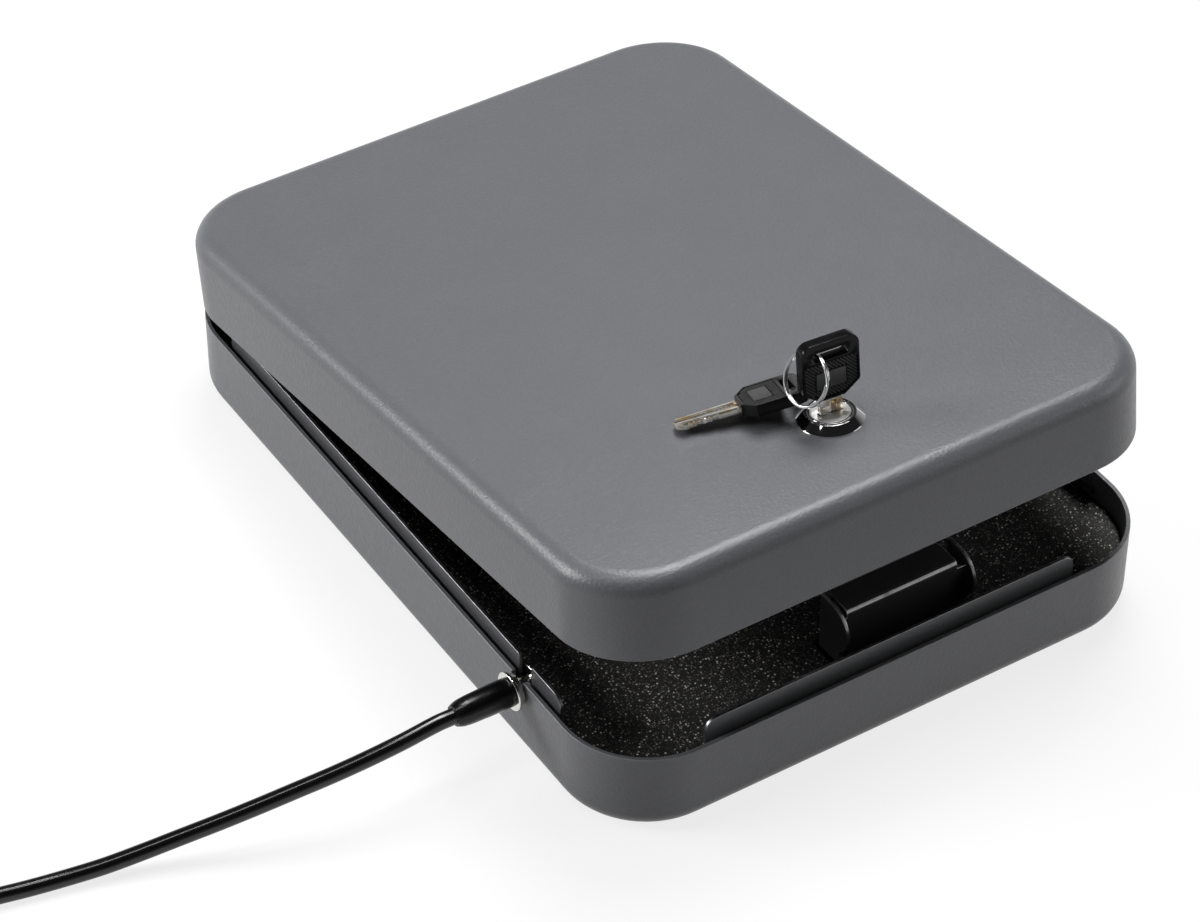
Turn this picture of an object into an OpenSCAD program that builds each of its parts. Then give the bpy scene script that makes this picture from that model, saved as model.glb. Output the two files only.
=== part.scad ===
// Portable steel lock box with a tether cable. The lid stands slightly open,
// one key is in the lock and a second key hangs from it on a split ring.
// Origin: centre of the box's underside. +X right, -Y front (lock side), +Z up. Millimetres.

/* [Box] */
// Outside width, left to right
box_w = 216; // [180:1:300]
// Outside depth, front to back
box_d = 288; // [250:1:380]
// Height of the base tray
base_h = 31.5; // [29:0.5:60]
// Height of the lid
lid_h = 30; // [27:0.5:60]
// Gap between the two rims when the lid is closed
rim_gap = 2; // [1.6:0.1:3]
// Sheet steel thickness
wall = 1.5; // [1:0.1:2]
// Corner radius in plan, outside
corner_r = 31; // [22:1:40]
// Fillet between the walls and the top or bottom, outside
edge_r = 7; // [4:0.5:10]
// Lid opening at rest, in degrees
lid_open = 7.8; // [0:0.1:85]

/* [Hinge] */
// Gap between the hinge's ends and the corner curves
hinge_end_gap = 2; // [2:1:25]
// Number of knuckles
hinge_knuckles = 7; // [3:2:11]
// Outer radius of a knuckle
knuckle_r = 2.6; // [2.4:0.1:3]
// Radius of the hinge pin
pin_r = 1.2; // [0.8:0.1:1.4]
// Radial running clearance on the pin
pin_clear = 0.05; // [0.03:0.01:0.1]
// Thickness of a hinge leaf
leaf_t = 1; // [0.8:0.1:1.2]
// Height of a hinge leaf along the wall
leaf_h = 12; // [8:0.5:14]
// Distance of the pin behind the back wall
hinge_back = 0.5; // [0.5:0.1:1.5]
// Gap between neighbouring knuckles
knuckle_gap = 0.3; // [0.2:0.05:0.6]

/* [Lip strips] */
// Thickness of the strips welded inside the rim
strip_t = 1.2; // [0.8:0.1:1.6]
// Height of the lip above the base rim
lip_rise = 5.5; // [3:0.5:9]
// Depth of the strip below the base rim
strip_drop = 9; // [6:0.5:9.5]
// Gap between the front lip and the wall
lip_gap_front = 3; // [2:0.25:4]
// Gap between a side lip and the wall
lip_gap_side = 1.5; // [1:0.25:2]
// Distance from the front lip's ends to the corner curves
front_lip_inset = 5; // [2:0.5:20]
// Distance from the side lips' ends to the corner curves
side_lip_inset = 6; // [2:0.5:20]
// Radius of a lip's outer top corners
lip_corner_r = 4.5; // [1:0.5:6]

/* [Catch] */
// Distance from the box front to the catch plate
catch_setback = 17.8; // [14:0.2:19]
// Width of the catch between the outsides of its cheeks
catch_w = 51.2; // [40:0.2:70]
// How far the catch reaches left of the lock axis
catch_left = 13.5; // [11:0.5:20]
// Sheet thickness of the catch plate
catch_t = 1.5; // [1:0.1:2]
// Sheet thickness of the catch cheeks
cheek_t = 1.2; // [1:0.1:2]
// Depth of the catch's top flange
catch_flange_d = 11.2; // [8:0.2:11.6]
// Gap between the left cheek and the top flange
catch_notch_left = 1.2; // [0.5:0.1:3]
// Gap between the right cheek and the top flange
catch_notch_right = 4.1; // [0.5:0.1:8]
// Radius of the cheeks' rounded front
cheek_r = 9.2; // [6:0.2:9.4]
// Distance from the cheeks' rounded front to the box front
cheek_front = 13.8; // [12:0.2:14]
// Depth of the foot that is welded to the floor
catch_foot_d = 26; // [15:1:40]

/* [Lock] */
// Distance from the box front to the lock axis
lock_setback = 40.4; // [40:0.2:60]
// Offset of the lock axis to the right of the centre line
lock_offset = 2; // [-20:1:20]
// Outer radius of the lock's flange
flange_r = 11.1; // [10.5:0.1:14]
// Radius of the flange's flat top
flange_top_r = 8.3; // [7.8:0.1:9]
// Height of the flange above the lid
flange_h = 2.8; // [1.5:0.1:4]
// Radius of the threaded lock body
lock_body_r = 9.3; // [8.6:0.1:10]
// Width across the lock body's two flats
lock_flats = 16.4; // [15:0.1:17]
// Length of the lock body below the lid's top
lock_body_len = 21.5; // [18:0.5:22]
// Radius of the plug
plug_r = 6.3; // [5.5:0.1:6.6]
// Radius of the plug's face
plug_face_r = 7.2; // [6.8:0.1:7.4]
// Running clearance round the plug
plug_clear = 0.1; // [0.05:0.01:0.15]
// Across flats of the lock nut
lock_nut_af = 23; // [21:0.5:26]
// Thickness of the lock nut
lock_nut_t = 3.5; // [2:0.25:4]
// Cam thickness
cam_t = 2; // [1.5:0.1:3]
// Cam width
cam_w = 14; // [10:0.5:16]
// Clearance between the cam's tip and the catch plate
cam_tip_gap = 1.1; // [0.5:0.1:2]
// Clearance between the cam and the catch flange above it
cam_top_gap = 0.9; // [0.5:0.1:2]
// Turn of the plug at rest, in degrees from unlocked
plug_turn = -6; // [-84:1:6]

/* [Keys] */
// Width of the key head
key_head_w = 20.6; // [18:0.2:22]
// Length of the key head
key_head_len = 21.6; // [20.5:0.2:24]
// Thickness of the key head
key_head_t = 4; // [3:0.1:4.2]
// Width of the key head where it meets the blade
key_neck_w = 9; // [8.6:0.2:12]
// Length of the key head's taper
key_taper = 4.2; // [2:0.2:5]
// Corner radius at the end of the key head
key_corner_r = 3.8; // [2:0.2:5]
// Length of the ring slot
key_slot_len = 13.2; // [12:0.2:14]
// Height of the ring slot
key_slot_h = 3.2; // [3:0.1:3.4]
// Distance from the ring slot to the head's end
key_slot_edge = 3.3; // [3:0.1:4]
// Width of the blade
blade_w = 8; // [7:0.1:8.2]
// Thickness of the blade
blade_t = 2; // [1.6:0.1:2.2]
// Length of the blade
blade_len = 21.3; // [18:0.1:22]
// Height of the first key's head above the lid
key_standout = 8.8; // [8.4:0.1:9.2]
// Mean radius of the split ring
ring_r = 8.7; // [8.5:0.1:9]
// Radial width of the split ring's wire
ring_wire_w = 1; // [0.8:0.1:1.1]
// Thickness of the split ring, both turns together
ring_wire_t = 1.5; // [1.2:0.1:1.6]

/* [Foam] */
// Gap between the base foam's top and the lip strips above it
foam_lip_gap = 1.5; // [0.5:0.1:8]
// Thickness of the lid's foam
lid_foam_t = 6; // [3:0.5:8]
// Gap between the foam and the walls
foam_gap = 0.4; // [0.2:0.1:1]

/* [Tether cable] */
// Distance from the box front to the cable's axis
cable_setback = 58; // [50:1:60]
// Depth of the cable's axis below the base rim
cable_drop = 5; // [4:0.5:6]
// Diameter of the coated cable
cable_d = 5.5; // [4.5:0.1:5.6]
// Radius of the collar's neck, which sits in the wall slot
neck_r = 3; // [2.6:0.1:3.4]
// Clearance round the collar's neck
neck_gap = 0.3; // [0.1:0.05:0.5]
// Radius of the collar's two flanges
collar_r = 6.7; // [6:0.1:7]
// Outer radius of the boot
boot_r = 4.35; // [3.8:0.05:5]
// Length of the boot
boot_len = 20.7; // [18:0.1:20.7]

/* [Hidden] */
$fn = 64;

// Colours
steel = "dimgray";
black = "#1c1c1e";
chrome = "gainsboro";
zinc = "silver";
brass = "#c8b890";

// Levels and planes that several pieces share
eps = 0.01;
front_y = -box_d / 2;
lid_top = base_h + rim_gap + lid_h;
lid_under = lid_top - wall;
hinge_y = box_d / 2 + hinge_back;
hinge_z = base_h + rim_gap / 2;
hinge_len = box_w - 2 * (corner_r + hinge_end_gap);
foam_top = base_h - strip_drop - foam_lip_gap;
lock_x = lock_offset;
lock_y = front_y + lock_setback;
lock_base = lid_top - lock_body_len;
plug_shoulder = 2.4;
cam_top = lock_base - plug_shoulder;
cam_under = cam_top - cam_t;
cam_reach = lock_setback - catch_setback - catch_t - cam_tip_gap;
catch_y = front_y + catch_setback;
catch_x0 = lock_x - catch_left;
catch_x1 = catch_x0 + catch_w;
catch_top = cam_top + cam_top_gap + catch_t;
catch_back = catch_y + catch_flange_d;
catch_foot_y = catch_y + catch_foot_d;
cheek_y = front_y + cheek_front + cheek_r;
cable_x = -box_w / 2;
cable_y = front_y + cable_setback;
cable_z = base_h - cable_drop;
fit_gap = 0.3;

// Places things in the lid, which turns about the hinge pin
module in_lid() {
    translate([0, hinge_y, hinge_z]) rotate([-lid_open, 0, 0]) translate([0, -hinge_y, -hinge_z])
        children();
}

// Places things on the lock axis with z = 0 at the lid's top surface
module on_lock() {
    in_lid() translate([lock_x, lock_y, lid_top]) children();
}

// Places things that turn with the plug
module in_plug() {
    on_lock() rotate([0, 0, plug_turn]) children();
}

// Section through one wall of a tray: floor, fillet and wall, reaching from x = 0 to x = r
module tray_section(r, h) {
    square([r - edge_r, wall]);
    translate([r - wall, edge_r]) square([wall, h - edge_r]);
    translate([r - edge_r, edge_r]) intersection() {
        difference() {
            circle(edge_r);
            circle(edge_r - wall);
        }
        translate([0, -edge_r]) square([edge_r, edge_r]);
    }
}

// Section of a filled slab with the same rounded lower edge
module slab_section(r, f, h) {
    square([r - f, h]);
    translate([r - f, f]) square([f, h - f]);
    translate([r - f, f]) intersection() {
        circle(f);
        translate([0, -f]) square([f, f]);
    }
}

// Carries a wall section round a rounded rectangle, and fills the middle to height mid_h
module round_box(w, d, r, mid_h) {
    for (sx = [0, 1], sy = [0, 1])
        mirror([sx, 0, 0]) mirror([0, sy, 0]) translate([w / 2 - r, d / 2 - r, 0])
            rotate_extrude(angle = 90) children();
    for (s = [0, 1]) {
        mirror([s, 0, 0]) translate([w / 2 - r, d / 2 - r, 0]) rotate([90, 0, 0])
            linear_extrude(d - 2 * r) children();
        mirror([0, s, 0]) translate([r - w / 2, d / 2 - r, 0]) rotate([90, 0, 90])
            linear_extrude(w - 2 * r) children();
    }
    translate([r - w / 2, r - d / 2, 0]) cube([w - 2 * r, d - 2 * r, mid_h]);
}

module tray(h) {
    round_box(box_w, box_d, corner_r, wall) tray_section(corner_r, h);
}

// Foam slab that fits the tray's inside, from the sheet up to height h
module foam_slab(h) {
    inset = wall + foam_gap;
    translate([0, 0, wall]) round_box(box_w - 2 * inset, box_d - 2 * inset, corner_r - inset, h)
        slab_section(corner_r - inset, edge_r - wall, h);
}

// Cut through the back wall where the knuckles lie
module hinge_cut() {
    reach = knuckle_r + fit_gap;
    translate([-hinge_len / 2 - fit_gap, box_d / 2 - wall - eps, hinge_z - reach])
        cube([hinge_len + 2 * fit_gap, wall + 2 * eps, 2 * reach]);
}

module base_shell() {
    color(steel) difference() {
        tray(base_h);
        hinge_cut();
        // open-topped slot for the cable collar
        translate([cable_x - eps, cable_y, cable_z]) {
            rotate([0, 90, 0]) cylinder(r = neck_r + neck_gap, h = wall + 2 * eps);
            translate([0, -neck_r - neck_gap, 0])
                cube([wall + 2 * eps, 2 * (neck_r + neck_gap), cable_drop + 1]);
        }
    }
}

module lid_shell() {
    color(steel) in_lid() difference() {
        translate([0, 0, lid_top]) mirror([0, 0, 1]) tray(lid_h);
        hinge_cut();
        translate([lock_x, lock_y, lid_under - 1]) linear_extrude(wall + 2)
            lock_outline(lock_body_r + plug_clear, lock_flats + 2 * plug_clear);
    }
}

// Circle with two flats, the shape of the lock body and its hole
module lock_outline(r, flats) {
    intersection() {
        circle(r);
        square([2 * r + 2, flats], center = true);
    }
}

// Joggled strip along +Y. Its weld flange lies on x = 0 and its lip stands gap away from it.
module lip_strip(len, gap, r_start, r_end) {
    low = base_h - strip_drop;
    top = base_h + lip_rise;
    bend_z = base_h - 3.5;
    bend_h = 2.5;
    intersection() {
        translate([0, len, 0]) rotate([90, 0, 0]) linear_extrude(len) polygon([
            [0, low], [strip_t, low], [strip_t, bend_z], [gap + strip_t, bend_z + bend_h],
            [gap + strip_t, top], [gap, top], [gap, bend_z + bend_h + 0.5], [0, bend_z + 0.5]]);
        translate([-1, 0, 0]) rotate([90, 0, 90]) linear_extrude(gap + strip_t + 2)
            lip_outline(len, low, top, r_start, r_end);
    }
}

// Side view of a lip strip, with rounded top corners
module lip_outline(len, low, top, r0, r1) {
    r_max = max(r0, r1);
    translate([0, low - 1]) square([len, top - r_max - low + 1]);
    translate([r0, top - r_max - eps]) square([len - r0 - r1, r_max + eps]);
    translate([0, top - r_max - eps]) square([r0, r_max - r0 + eps]);
    translate([len - r1, top - r_max - eps]) square([r1, r_max - r1 + eps]);
    translate([r0, top - r0]) circle(r0);
    translate([len - r1, top - r1]) circle(r1);
}

side_lip_y = box_d / 2 - corner_r - side_lip_inset;
front_lip_x = box_w / 2 - corner_r - front_lip_inset;
notch_r = 1;
slot_half = neck_r + neck_gap + 0.1;

module front_lip() {
    color(steel) translate([front_lip_x, front_y + wall, 0]) rotate([0, 0, 90])
        lip_strip(2 * front_lip_x, lip_gap_front, lip_corner_r, lip_corner_r);
}

module left_lip_rear() {
    y0 = cable_y + slot_half;
    color(steel) translate([wall - box_w / 2, y0, 0])
        lip_strip(side_lip_y - y0, lip_gap_side, notch_r, lip_corner_r);
}

module left_lip_front() {
    y1 = cable_y - slot_half;
    color(steel) translate([wall - box_w / 2, -side_lip_y, 0])
        lip_strip(y1 + side_lip_y, lip_gap_side, lip_corner_r, notch_r);
}

module right_lip() {
    color(steel) translate([box_w / 2 - wall, side_lip_y, 0]) rotate([0, 0, 180])
        lip_strip(2 * side_lip_y, lip_gap_side, lip_corner_r, lip_corner_r);
}

// Front plate of the catch with its flange turned back over the cam
module catch_plate() {
    flange_x0 = catch_x0 + cheek_t + catch_notch_left;
    flange_x1 = catch_x1 - cheek_t - catch_notch_right;
    bend = catch_t + 0.5;
    relief = 3;
    color(black) {
        translate([catch_x0 + cheek_t, catch_y, wall + cheek_t])
            cube([catch_w - 2 * cheek_t, catch_t, catch_top - relief - wall - cheek_t + eps]);
        translate([flange_x0, 0, 0]) rotate([90, 0, 90]) linear_extrude(flange_x1 - flange_x0) {
            translate([catch_y, catch_top - relief]) square([catch_t, relief - bend]);
            translate([catch_y + bend, catch_top - catch_t])
                square([catch_flange_d - bend, catch_t]);
            translate([catch_y + bend, catch_top - bend]) intersection() {
                difference() {
                    circle(bend);
                    circle(bend - catch_t);
                }
                translate([-bend, 0]) square([bend, bend]);
            }
        }
    }
}

// Two side cheeks with rounded fronts, joined by the foot that is welded to the floor
module catch_cheeks() {
    color(black) {
        for (x = [catch_x0, catch_x1 - cheek_t])
            translate([x, 0, 0]) rotate([90, 0, 90]) linear_extrude(cheek_t) {
                translate([catch_y, wall]) square([catch_flange_d, catch_top - wall]);
                intersection() {
                    translate([cheek_y, catch_top - cheek_r]) circle(cheek_r);
                    translate([cheek_y - cheek_r - 1, catch_top - 2 * cheek_r - 1])
                        square([catch_back - cheek_y + cheek_r + 1, 2 * cheek_r + 2]);
                }
            }
        translate([catch_x0, catch_y, wall]) cube([catch_w, catch_foot_d, cheek_t]);
    }
}

module base_foam() {
    pocket = 1;
    leaf_low = hinge_z - knuckle_r - leaf_h;
    color(black) difference() {
        foam_slab(foam_top - wall);
        // round the catch, and over its foot
        translate([catch_x0 - pocket, catch_y - pocket, 0])
            cube([catch_w + 2 * pocket, catch_flange_d + 2 * pocket, foam_top + 1]);
        translate([catch_x0 - pocket, catch_y - pocket, 0])
            cube([catch_w + 2 * pocket, catch_foot_d + 2 * pocket, wall + cheek_t + fit_gap]);
        // below the collar's inner flange
        translate([cable_x, cable_y - collar_r - pocket, cable_z - collar_r - pocket])
            cube([collar_in + collar_flange_t + pocket, 2 * (collar_r + pocket), foam_top]);
        // in front of the hinge leaf
        translate([-hinge_len / 2 - pocket, box_d / 2 - wall - leaf_t - fit_gap, leaf_low - pocket])
            cube([hinge_len + 2 * pocket, leaf_t + wall + 1, foam_top]);
    }
}

module lid_foam() {
    nut_room = lock_nut_af / sqrt(3) + 1.5;
    color(black) in_lid() translate([0, 0, lid_top]) mirror([0, 0, 1]) difference() {
        foam_slab(lid_foam_t);
        translate([lock_x, lock_y, 0]) cylinder(r = nut_room, h = lid_foam_t + wall + 1);
    }
}

// Every second knuckle belongs to one leaf: parity 0 to the base, 1 to the lid
pitch = hinge_len / hinge_knuckles;

module knuckles(parity) {
    for (i = [parity : 2 : hinge_knuckles - 1]) {
        x0 = -hinge_len / 2 + i * pitch + knuckle_gap / 2;
        len = pitch - knuckle_gap;
        difference() {
            union() {
                translate([x0, 0, 0]) rotate([0, 90, 0]) cylinder(r = knuckle_r, h = len);
                translate([x0, -hinge_back - wall - leaf_t, -knuckle_r])
                    cube([len, hinge_back + wall + leaf_t, leaf_t]);
            }
            translate([x0 - 1, 0, 0]) rotate([0, 90, 0])
                cylinder(r = pin_r + pin_clear, h = len + 2);
        }
    }
}

// One leaf about the pin's axis, hanging below it: a plate on the wall's inner face
module hinge_leaf(parity) {
    knuckles(parity);
    translate([-hinge_len / 2, -hinge_back - wall - leaf_t, -knuckle_r - leaf_h])
        cube([hinge_len, leaf_t, leaf_h]);
}

module hinge_leaf_base() {
    color(steel) translate([0, hinge_y, hinge_z]) hinge_leaf(0);
}

module hinge_leaf_lid() {
    color(steel) in_lid() translate([0, hinge_y, hinge_z]) mirror([0, 0, 1]) hinge_leaf(1);
}

module hinge_pin() {
    color(zinc) translate([-hinge_len / 2, hinge_y, hinge_z]) rotate([0, 90, 0])
        cylinder(r = pin_r, h = hinge_len);
}

// Lock housing: bevelled flange on the lid, body with two flats, bore for the plug
module lock_body() {
    face_depth = 2.1;
    color(chrome) on_lock() difference() {
        union() {
            rotate_extrude() polygon([[0, 0], [flange_r, 0], [flange_r, 0.4],
                [flange_top_r, flange_h], [0, flange_h]]);
            translate([0, 0, -lock_body_len]) linear_extrude(lock_body_len)
                lock_outline(lock_body_r, lock_flats);
        }
        translate([0, 0, -lock_body_len - 1])
            cylinder(r = plug_r + plug_clear, h = lock_body_len + flange_h + 2);
        translate([0, 0, flange_h - face_depth - plug_clear])
            cylinder(r = plug_face_r + plug_clear, h = face_depth + 1);
    }
}

module lock_nut() {
    washer_t = 0.8;
    color(zinc) on_lock() translate([0, 0, -wall - washer_t - lock_nut_t]) difference() {
        cylinder(d = lock_nut_af / cos(30), h = lock_nut_t, $fn = 6);
        translate([0, 0, -1]) cylinder(r = lock_body_r + plug_clear, h = lock_nut_t + 2);
    }
}

module lock_washer() {
    washer_t = 0.8;
    color(zinc) on_lock() translate([0, 0, -wall - washer_t]) difference() {
        cylinder(r = lock_nut_af / 2, h = washer_t);
        translate([0, 0, -1]) cylinder(r = lock_body_r + plug_clear, h = washer_t + 2);
    }
}

wafer_n = 4;
wafer_pitch = 2.6;
wafer_t = 0.7;
wafer_z = -1.6;
tail_af = 7;
stud_r = 3;
cam_washer_t = 0.5;
cam_nut_t = 2.4;
key_way_gap = 0.15;

// Heights of the wafers, from the lid's top down
wafer_levels = [for (i = [0 : wafer_n - 1]) wafer_z - i * wafer_pitch];

module lock_plug() {
    face_depth = 2;
    key_room = blade_len - key_standout + 0.5;
    tail_len = plug_shoulder + cam_t;
    color(chrome) in_plug() difference() {
        union() {
            translate([0, 0, flange_h - face_depth]) cylinder(r = plug_face_r, h = face_depth - 0.1);
            translate([0, 0, -lock_body_len - plug_shoulder])
                cylinder(r = plug_r, h = lock_body_len + plug_shoulder + flange_h - face_depth);
            translate([-tail_af / 2, -tail_af / 2, -lock_body_len - tail_len + 0.2])
                cube([tail_af, tail_af, tail_len]);
            translate([0, 0, -lock_body_len - tail_len - cam_washer_t - cam_nut_t - 0.6])
                cylinder(r = stud_r, h = tail_len);
        }
        translate([-blade_w / 2 - key_way_gap, -blade_t / 2 - key_way_gap, -key_room])
            cube([blade_w + 2 * key_way_gap, blade_t + 2 * key_way_gap, key_room + flange_h + 1]);
        for (z = wafer_levels) translate([0, 0, z])
            cube([wafer_w + 0.4, wafer_d + 0.4, wafer_t + 0.3], center = true);
        for (z = wafer_levels) translate([0, spring_y, z])
            cube([spring_d + 0.3, spring_d + 0.3, wafer_pitch - 0.8], center = true);
    }
}

wafer_w = 11;
wafer_d = 4.4;
spring_d = 0.9;
spring_y = wafer_d / 2 + 0.75;

// Wafers: plates with a window that the blade passes through
module lock_wafers() {
    color(brass) in_plug() for (z = wafer_levels) translate([0, 0, z]) difference() {
        cube([wafer_w, wafer_d, wafer_t], center = true);
        cube([blade_w + 0.5, blade_t + 0.5, 2], center = true);
    }
}

// One small spring beside each wafer, drawn as a sleeve
module wafer_springs() {
    len = wafer_pitch - 1.2;
    color(zinc) in_plug() for (z = wafer_levels) translate([0, spring_y, z - len / 2])
        difference() {
            cylinder(d = spring_d, h = len);
            translate([0, 0, -1]) cylinder(d = spring_d - 0.4, h = len + 2);
        }
}

// Stop washer between the housing and the cam, with a tab that limits the turn
module lock_stop_washer() {
    t = 0.8;
    color(zinc) in_plug() translate([0, 0, -lock_body_len - 1.4]) difference() {
        union() {
            cylinder(r = lock_body_r - 0.5, h = t);
            translate([0, -2.5, 0]) cube([lock_body_r + 1, 5, t]);
        }
        translate([0, 0, -1]) cylinder(r = plug_r + 0.05, h = t + 2);
    }
}

module lock_cam() {
    color(zinc) in_plug() translate([0, 0, -lock_body_len - plug_shoulder - cam_t]) difference() {
        linear_extrude(cam_t) intersection() {
            union() {
                circle(cam_w / 2 + 1);
                translate([0, -cam_w / 2]) square([cam_reach, cam_w]);
            }
            circle(cam_reach);
        }
        translate([-tail_af / 2 - 0.05, -tail_af / 2 - 0.05, -1])
            cube([tail_af + 0.1, tail_af + 0.1, cam_t + 2]);
    }
}

module cam_washer() {
    color(zinc) in_plug()
        translate([0, 0, -lock_body_len - plug_shoulder - cam_t - cam_washer_t]) difference() {
            cylinder(r = tail_af * 0.8, h = cam_washer_t);
            translate([0, 0, -1]) cylinder(r = stud_r + 0.1, h = cam_washer_t + 2);
        }
}

module cam_nut() {
    color(zinc) in_plug()
        translate([0, 0, -lock_body_len - plug_shoulder - cam_t - cam_washer_t - cam_nut_t])
            difference() {
                cylinder(d = 10 / cos(30), h = cam_nut_t, $fn = 6);
                translate([0, 0, -1]) cylinder(r = stud_r + 0.05, h = cam_nut_t + 2);
            }
}

// Outline of the key head, from the blade at y = 0 up to its end
module head_outline(inset = 0) {
    hw = key_head_w / 2 - inset;
    r = key_corner_r - inset;
    top = key_head_len - inset;
    polygon([[-key_neck_w / 2 + inset, inset], [key_neck_w / 2 - inset, inset],
        [hw, key_taper], [hw, top - r], [-hw, top - r], [-hw, key_taper]]);
    translate([-hw + r, top - r - eps]) square([2 * (hw - r), r + eps]);
    for (x = [-hw + r, hw - r]) translate([x, top - r]) circle(r);
}

module slot_outline(inset = 0) {
    r = key_slot_h / 2 - inset;
    y = key_head_len - key_slot_edge - key_slot_h / 2;
    x = key_slot_len / 2 - inset - r;
    translate([-x, y - r]) square([2 * x, 2 * r]);
    for (s = [-1, 1]) translate([s * x, y]) circle(r);
}

window_w = 11.6;
window_h = 6.6;
window_y = 4.6;
window_depth = 0.5;
groove_pitch = 1.5;
groove_w = 0.7;
groove_depth = 0.35;

// Diagonal grip grooves round the window, below the slot
module groove_outline() {
    low = 1.6;
    high = key_head_len - key_slot_edge - key_slot_h - 1;
    intersection() {
        difference() {
            intersection() {
                head_outline(1.1);
                translate([-key_head_w, low]) square([2 * key_head_w, high - low]);
            }
            translate([-window_w / 2 - 0.6, window_y - 0.6])
                square([window_w + 1.2, window_h + 1.2]);
        }
        for (i = [-14 : 14]) translate([i * groove_pitch, high / 2]) rotate([0, 0, 45])
            square([groove_w, 3 * key_head_len], center = true);
    }
}

// Key head, standing on z = 0 with its faces towards -Y and +Y
module key_head() {
    rotate([90, 0, 0]) translate([0, 0, -key_head_t / 2]) difference() {
        linear_extrude(key_head_t) head_outline();
        translate([0, 0, -1]) linear_extrude(key_head_t + 2) slot_outline();
        for (z = [-1, key_head_t - window_depth]) translate([-window_w / 2, window_y, z])
            cube([window_w, window_h, 1 + window_depth]);
        for (z = [-1, key_head_t - groove_depth]) translate([0, 0, z])
            linear_extrude(1 + groove_depth) groove_outline();
    }
}

// Depth of each cut on the two edges of the blade
cuts_a = [0.9, 0.5, 1.1, 0.6];
cuts_b = [0.5, 1.0, 0.4, 0.8];

// Flat blade with a pointed tip, a groove on each face and cuts on both edges
module key_blade() {
    tip = 2.2;
    groove = 0.4;
    first_cut = 6;
    translate([0, blade_t / 2, 0]) rotate([90, 0, 0]) difference() {
        linear_extrude(blade_t) difference() {
            polygon([[-blade_w / 2, 0], [-blade_w / 2, tip - blade_len], [-blade_w / 5, -blade_len],
                [blade_w / 5, -blade_len], [blade_w / 2, tip - blade_len], [blade_w / 2, 0]]);
            for (i = [0 : len(cuts_a) - 1], s = [-1, 1])
                translate([s * blade_w / 2, -first_cut - (i + 1) * wafer_pitch])
                    polygon([[0, -1.2], [-s * (s < 0 ? cuts_a[i] : cuts_b[i]), -0.4],
                        [-s * (s < 0 ? cuts_a[i] : cuts_b[i]), 0.4], [0, 1.2],
                        [s, 1.2], [s, -1.2]]);
        }
        for (z = [-1, blade_t - groove]) translate([-0.2, -blade_len - 1, z])
            cube([1.8, blade_len - 1, 1 + groove]);
    }
}

module key_1_blade() {
    color(brass) in_plug() translate([0, 0, key_standout]) key_blade();
}

module key_1_head() {
    color(black) in_plug() translate([0, 0, key_standout]) key_head();
}

// Place of the second key's tip from the lock axis, and its heading, rise and roll in degrees
key_2_tip = [-42.8, 24.3, 2.2];
key_2_turn = [-16.1, -6.5, -17.1];

module at_key_2() {
    on_lock() translate(key_2_tip) rotate(key_2_turn) rotate([90, 0, 90])
        translate([0, 0, blade_len]) children();
}

module key_2_blade() {
    color(brass) at_key_2() key_blade();
}

module key_2_head() {
    color(black) at_key_2() key_head();
}

// Place of the split ring's centre from the lock axis, and its tilt and heading in degrees
ring_at = [-8.4, 0, 18.2];
ring_turn = [63.6, 0, -80.2];

// Split ring: two flat turns lying on each other, marked by a groove round the outside
module key_ring() {
    color(chrome) on_lock() translate(ring_at) rotate(ring_turn) rotate_extrude()
        translate([ring_r - ring_wire_w / 2, -ring_wire_t / 2]) difference() {
            square([ring_wire_w, ring_wire_t]);
            translate([ring_wire_w - 0.2, ring_wire_t / 2 - 0.05]) square([1, 0.1]);
        }
}

// Collar distances from the wall's outer face: outwards negative
collar_boss_t = 1.6;
collar_flange_t = 1.4;
collar_in = wall + lip_gap_side + strip_t + fit_gap;
shank_len = 12;
boot_x = cable_x - fit_gap - collar_boss_t - collar_flange_t;

// Metal spool on the cable's end: outer flange, boss, neck and inner flange
module cable_collar() {
    color(chrome) translate([boot_x, cable_y, cable_z]) rotate([0, 90, 0]) {
        translate([0, 0, -shank_len]) cylinder(r = cable_d / 2 - 0.1, h = shank_len + eps);
        cylinder(r = collar_r, h = collar_flange_t);
        translate([0, 0, collar_flange_t]) cylinder(r = collar_r - 1.2, h = collar_boss_t);
        cylinder(r = neck_r, h = collar_flange_t + collar_boss_t + fit_gap + collar_in + eps);
        translate([0, 0, collar_flange_t + collar_boss_t + fit_gap + collar_in])
            cylinder(r = collar_r, h = collar_flange_t);
    }
}

// Heat-shrunk sleeve over the crimp, with a rounded shoulder at the cable end
module cable_boot() {
    round_r = 3;
    color(black) translate([boot_x, cable_y, cable_z]) rotate([0, -90, 0]) difference() {
        union() {
            cylinder(r = boot_r, h = boot_len - round_r);
            translate([0, 0, boot_len - round_r]) rotate_extrude() {
                square([boot_r - round_r, round_r]);
                translate([boot_r - round_r, 0]) intersection() {
                    circle(round_r);
                    square(round_r);
                }
            }
        }
        translate([0, 0, -1]) cylinder(r = cable_d / 2, h = shank_len + 1.5);
    }
}

// Height of the coil's lower and upper layer, and the shape of its turns
tie_t = 0.8;
layer_low = cable_d / 2 + tie_t + 0.05;
layer_step = 6;
coil_at = [-318, -17, 0];
coil_in_r = 24.6;
coil_pitch = 6.2;
coil_turns_low = 2;
coil_climb = 0.5;
coil_dip = 1;
coil_turns_high = 1.75;
coil_start = -90;
rings_per_turn = 24;

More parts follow.
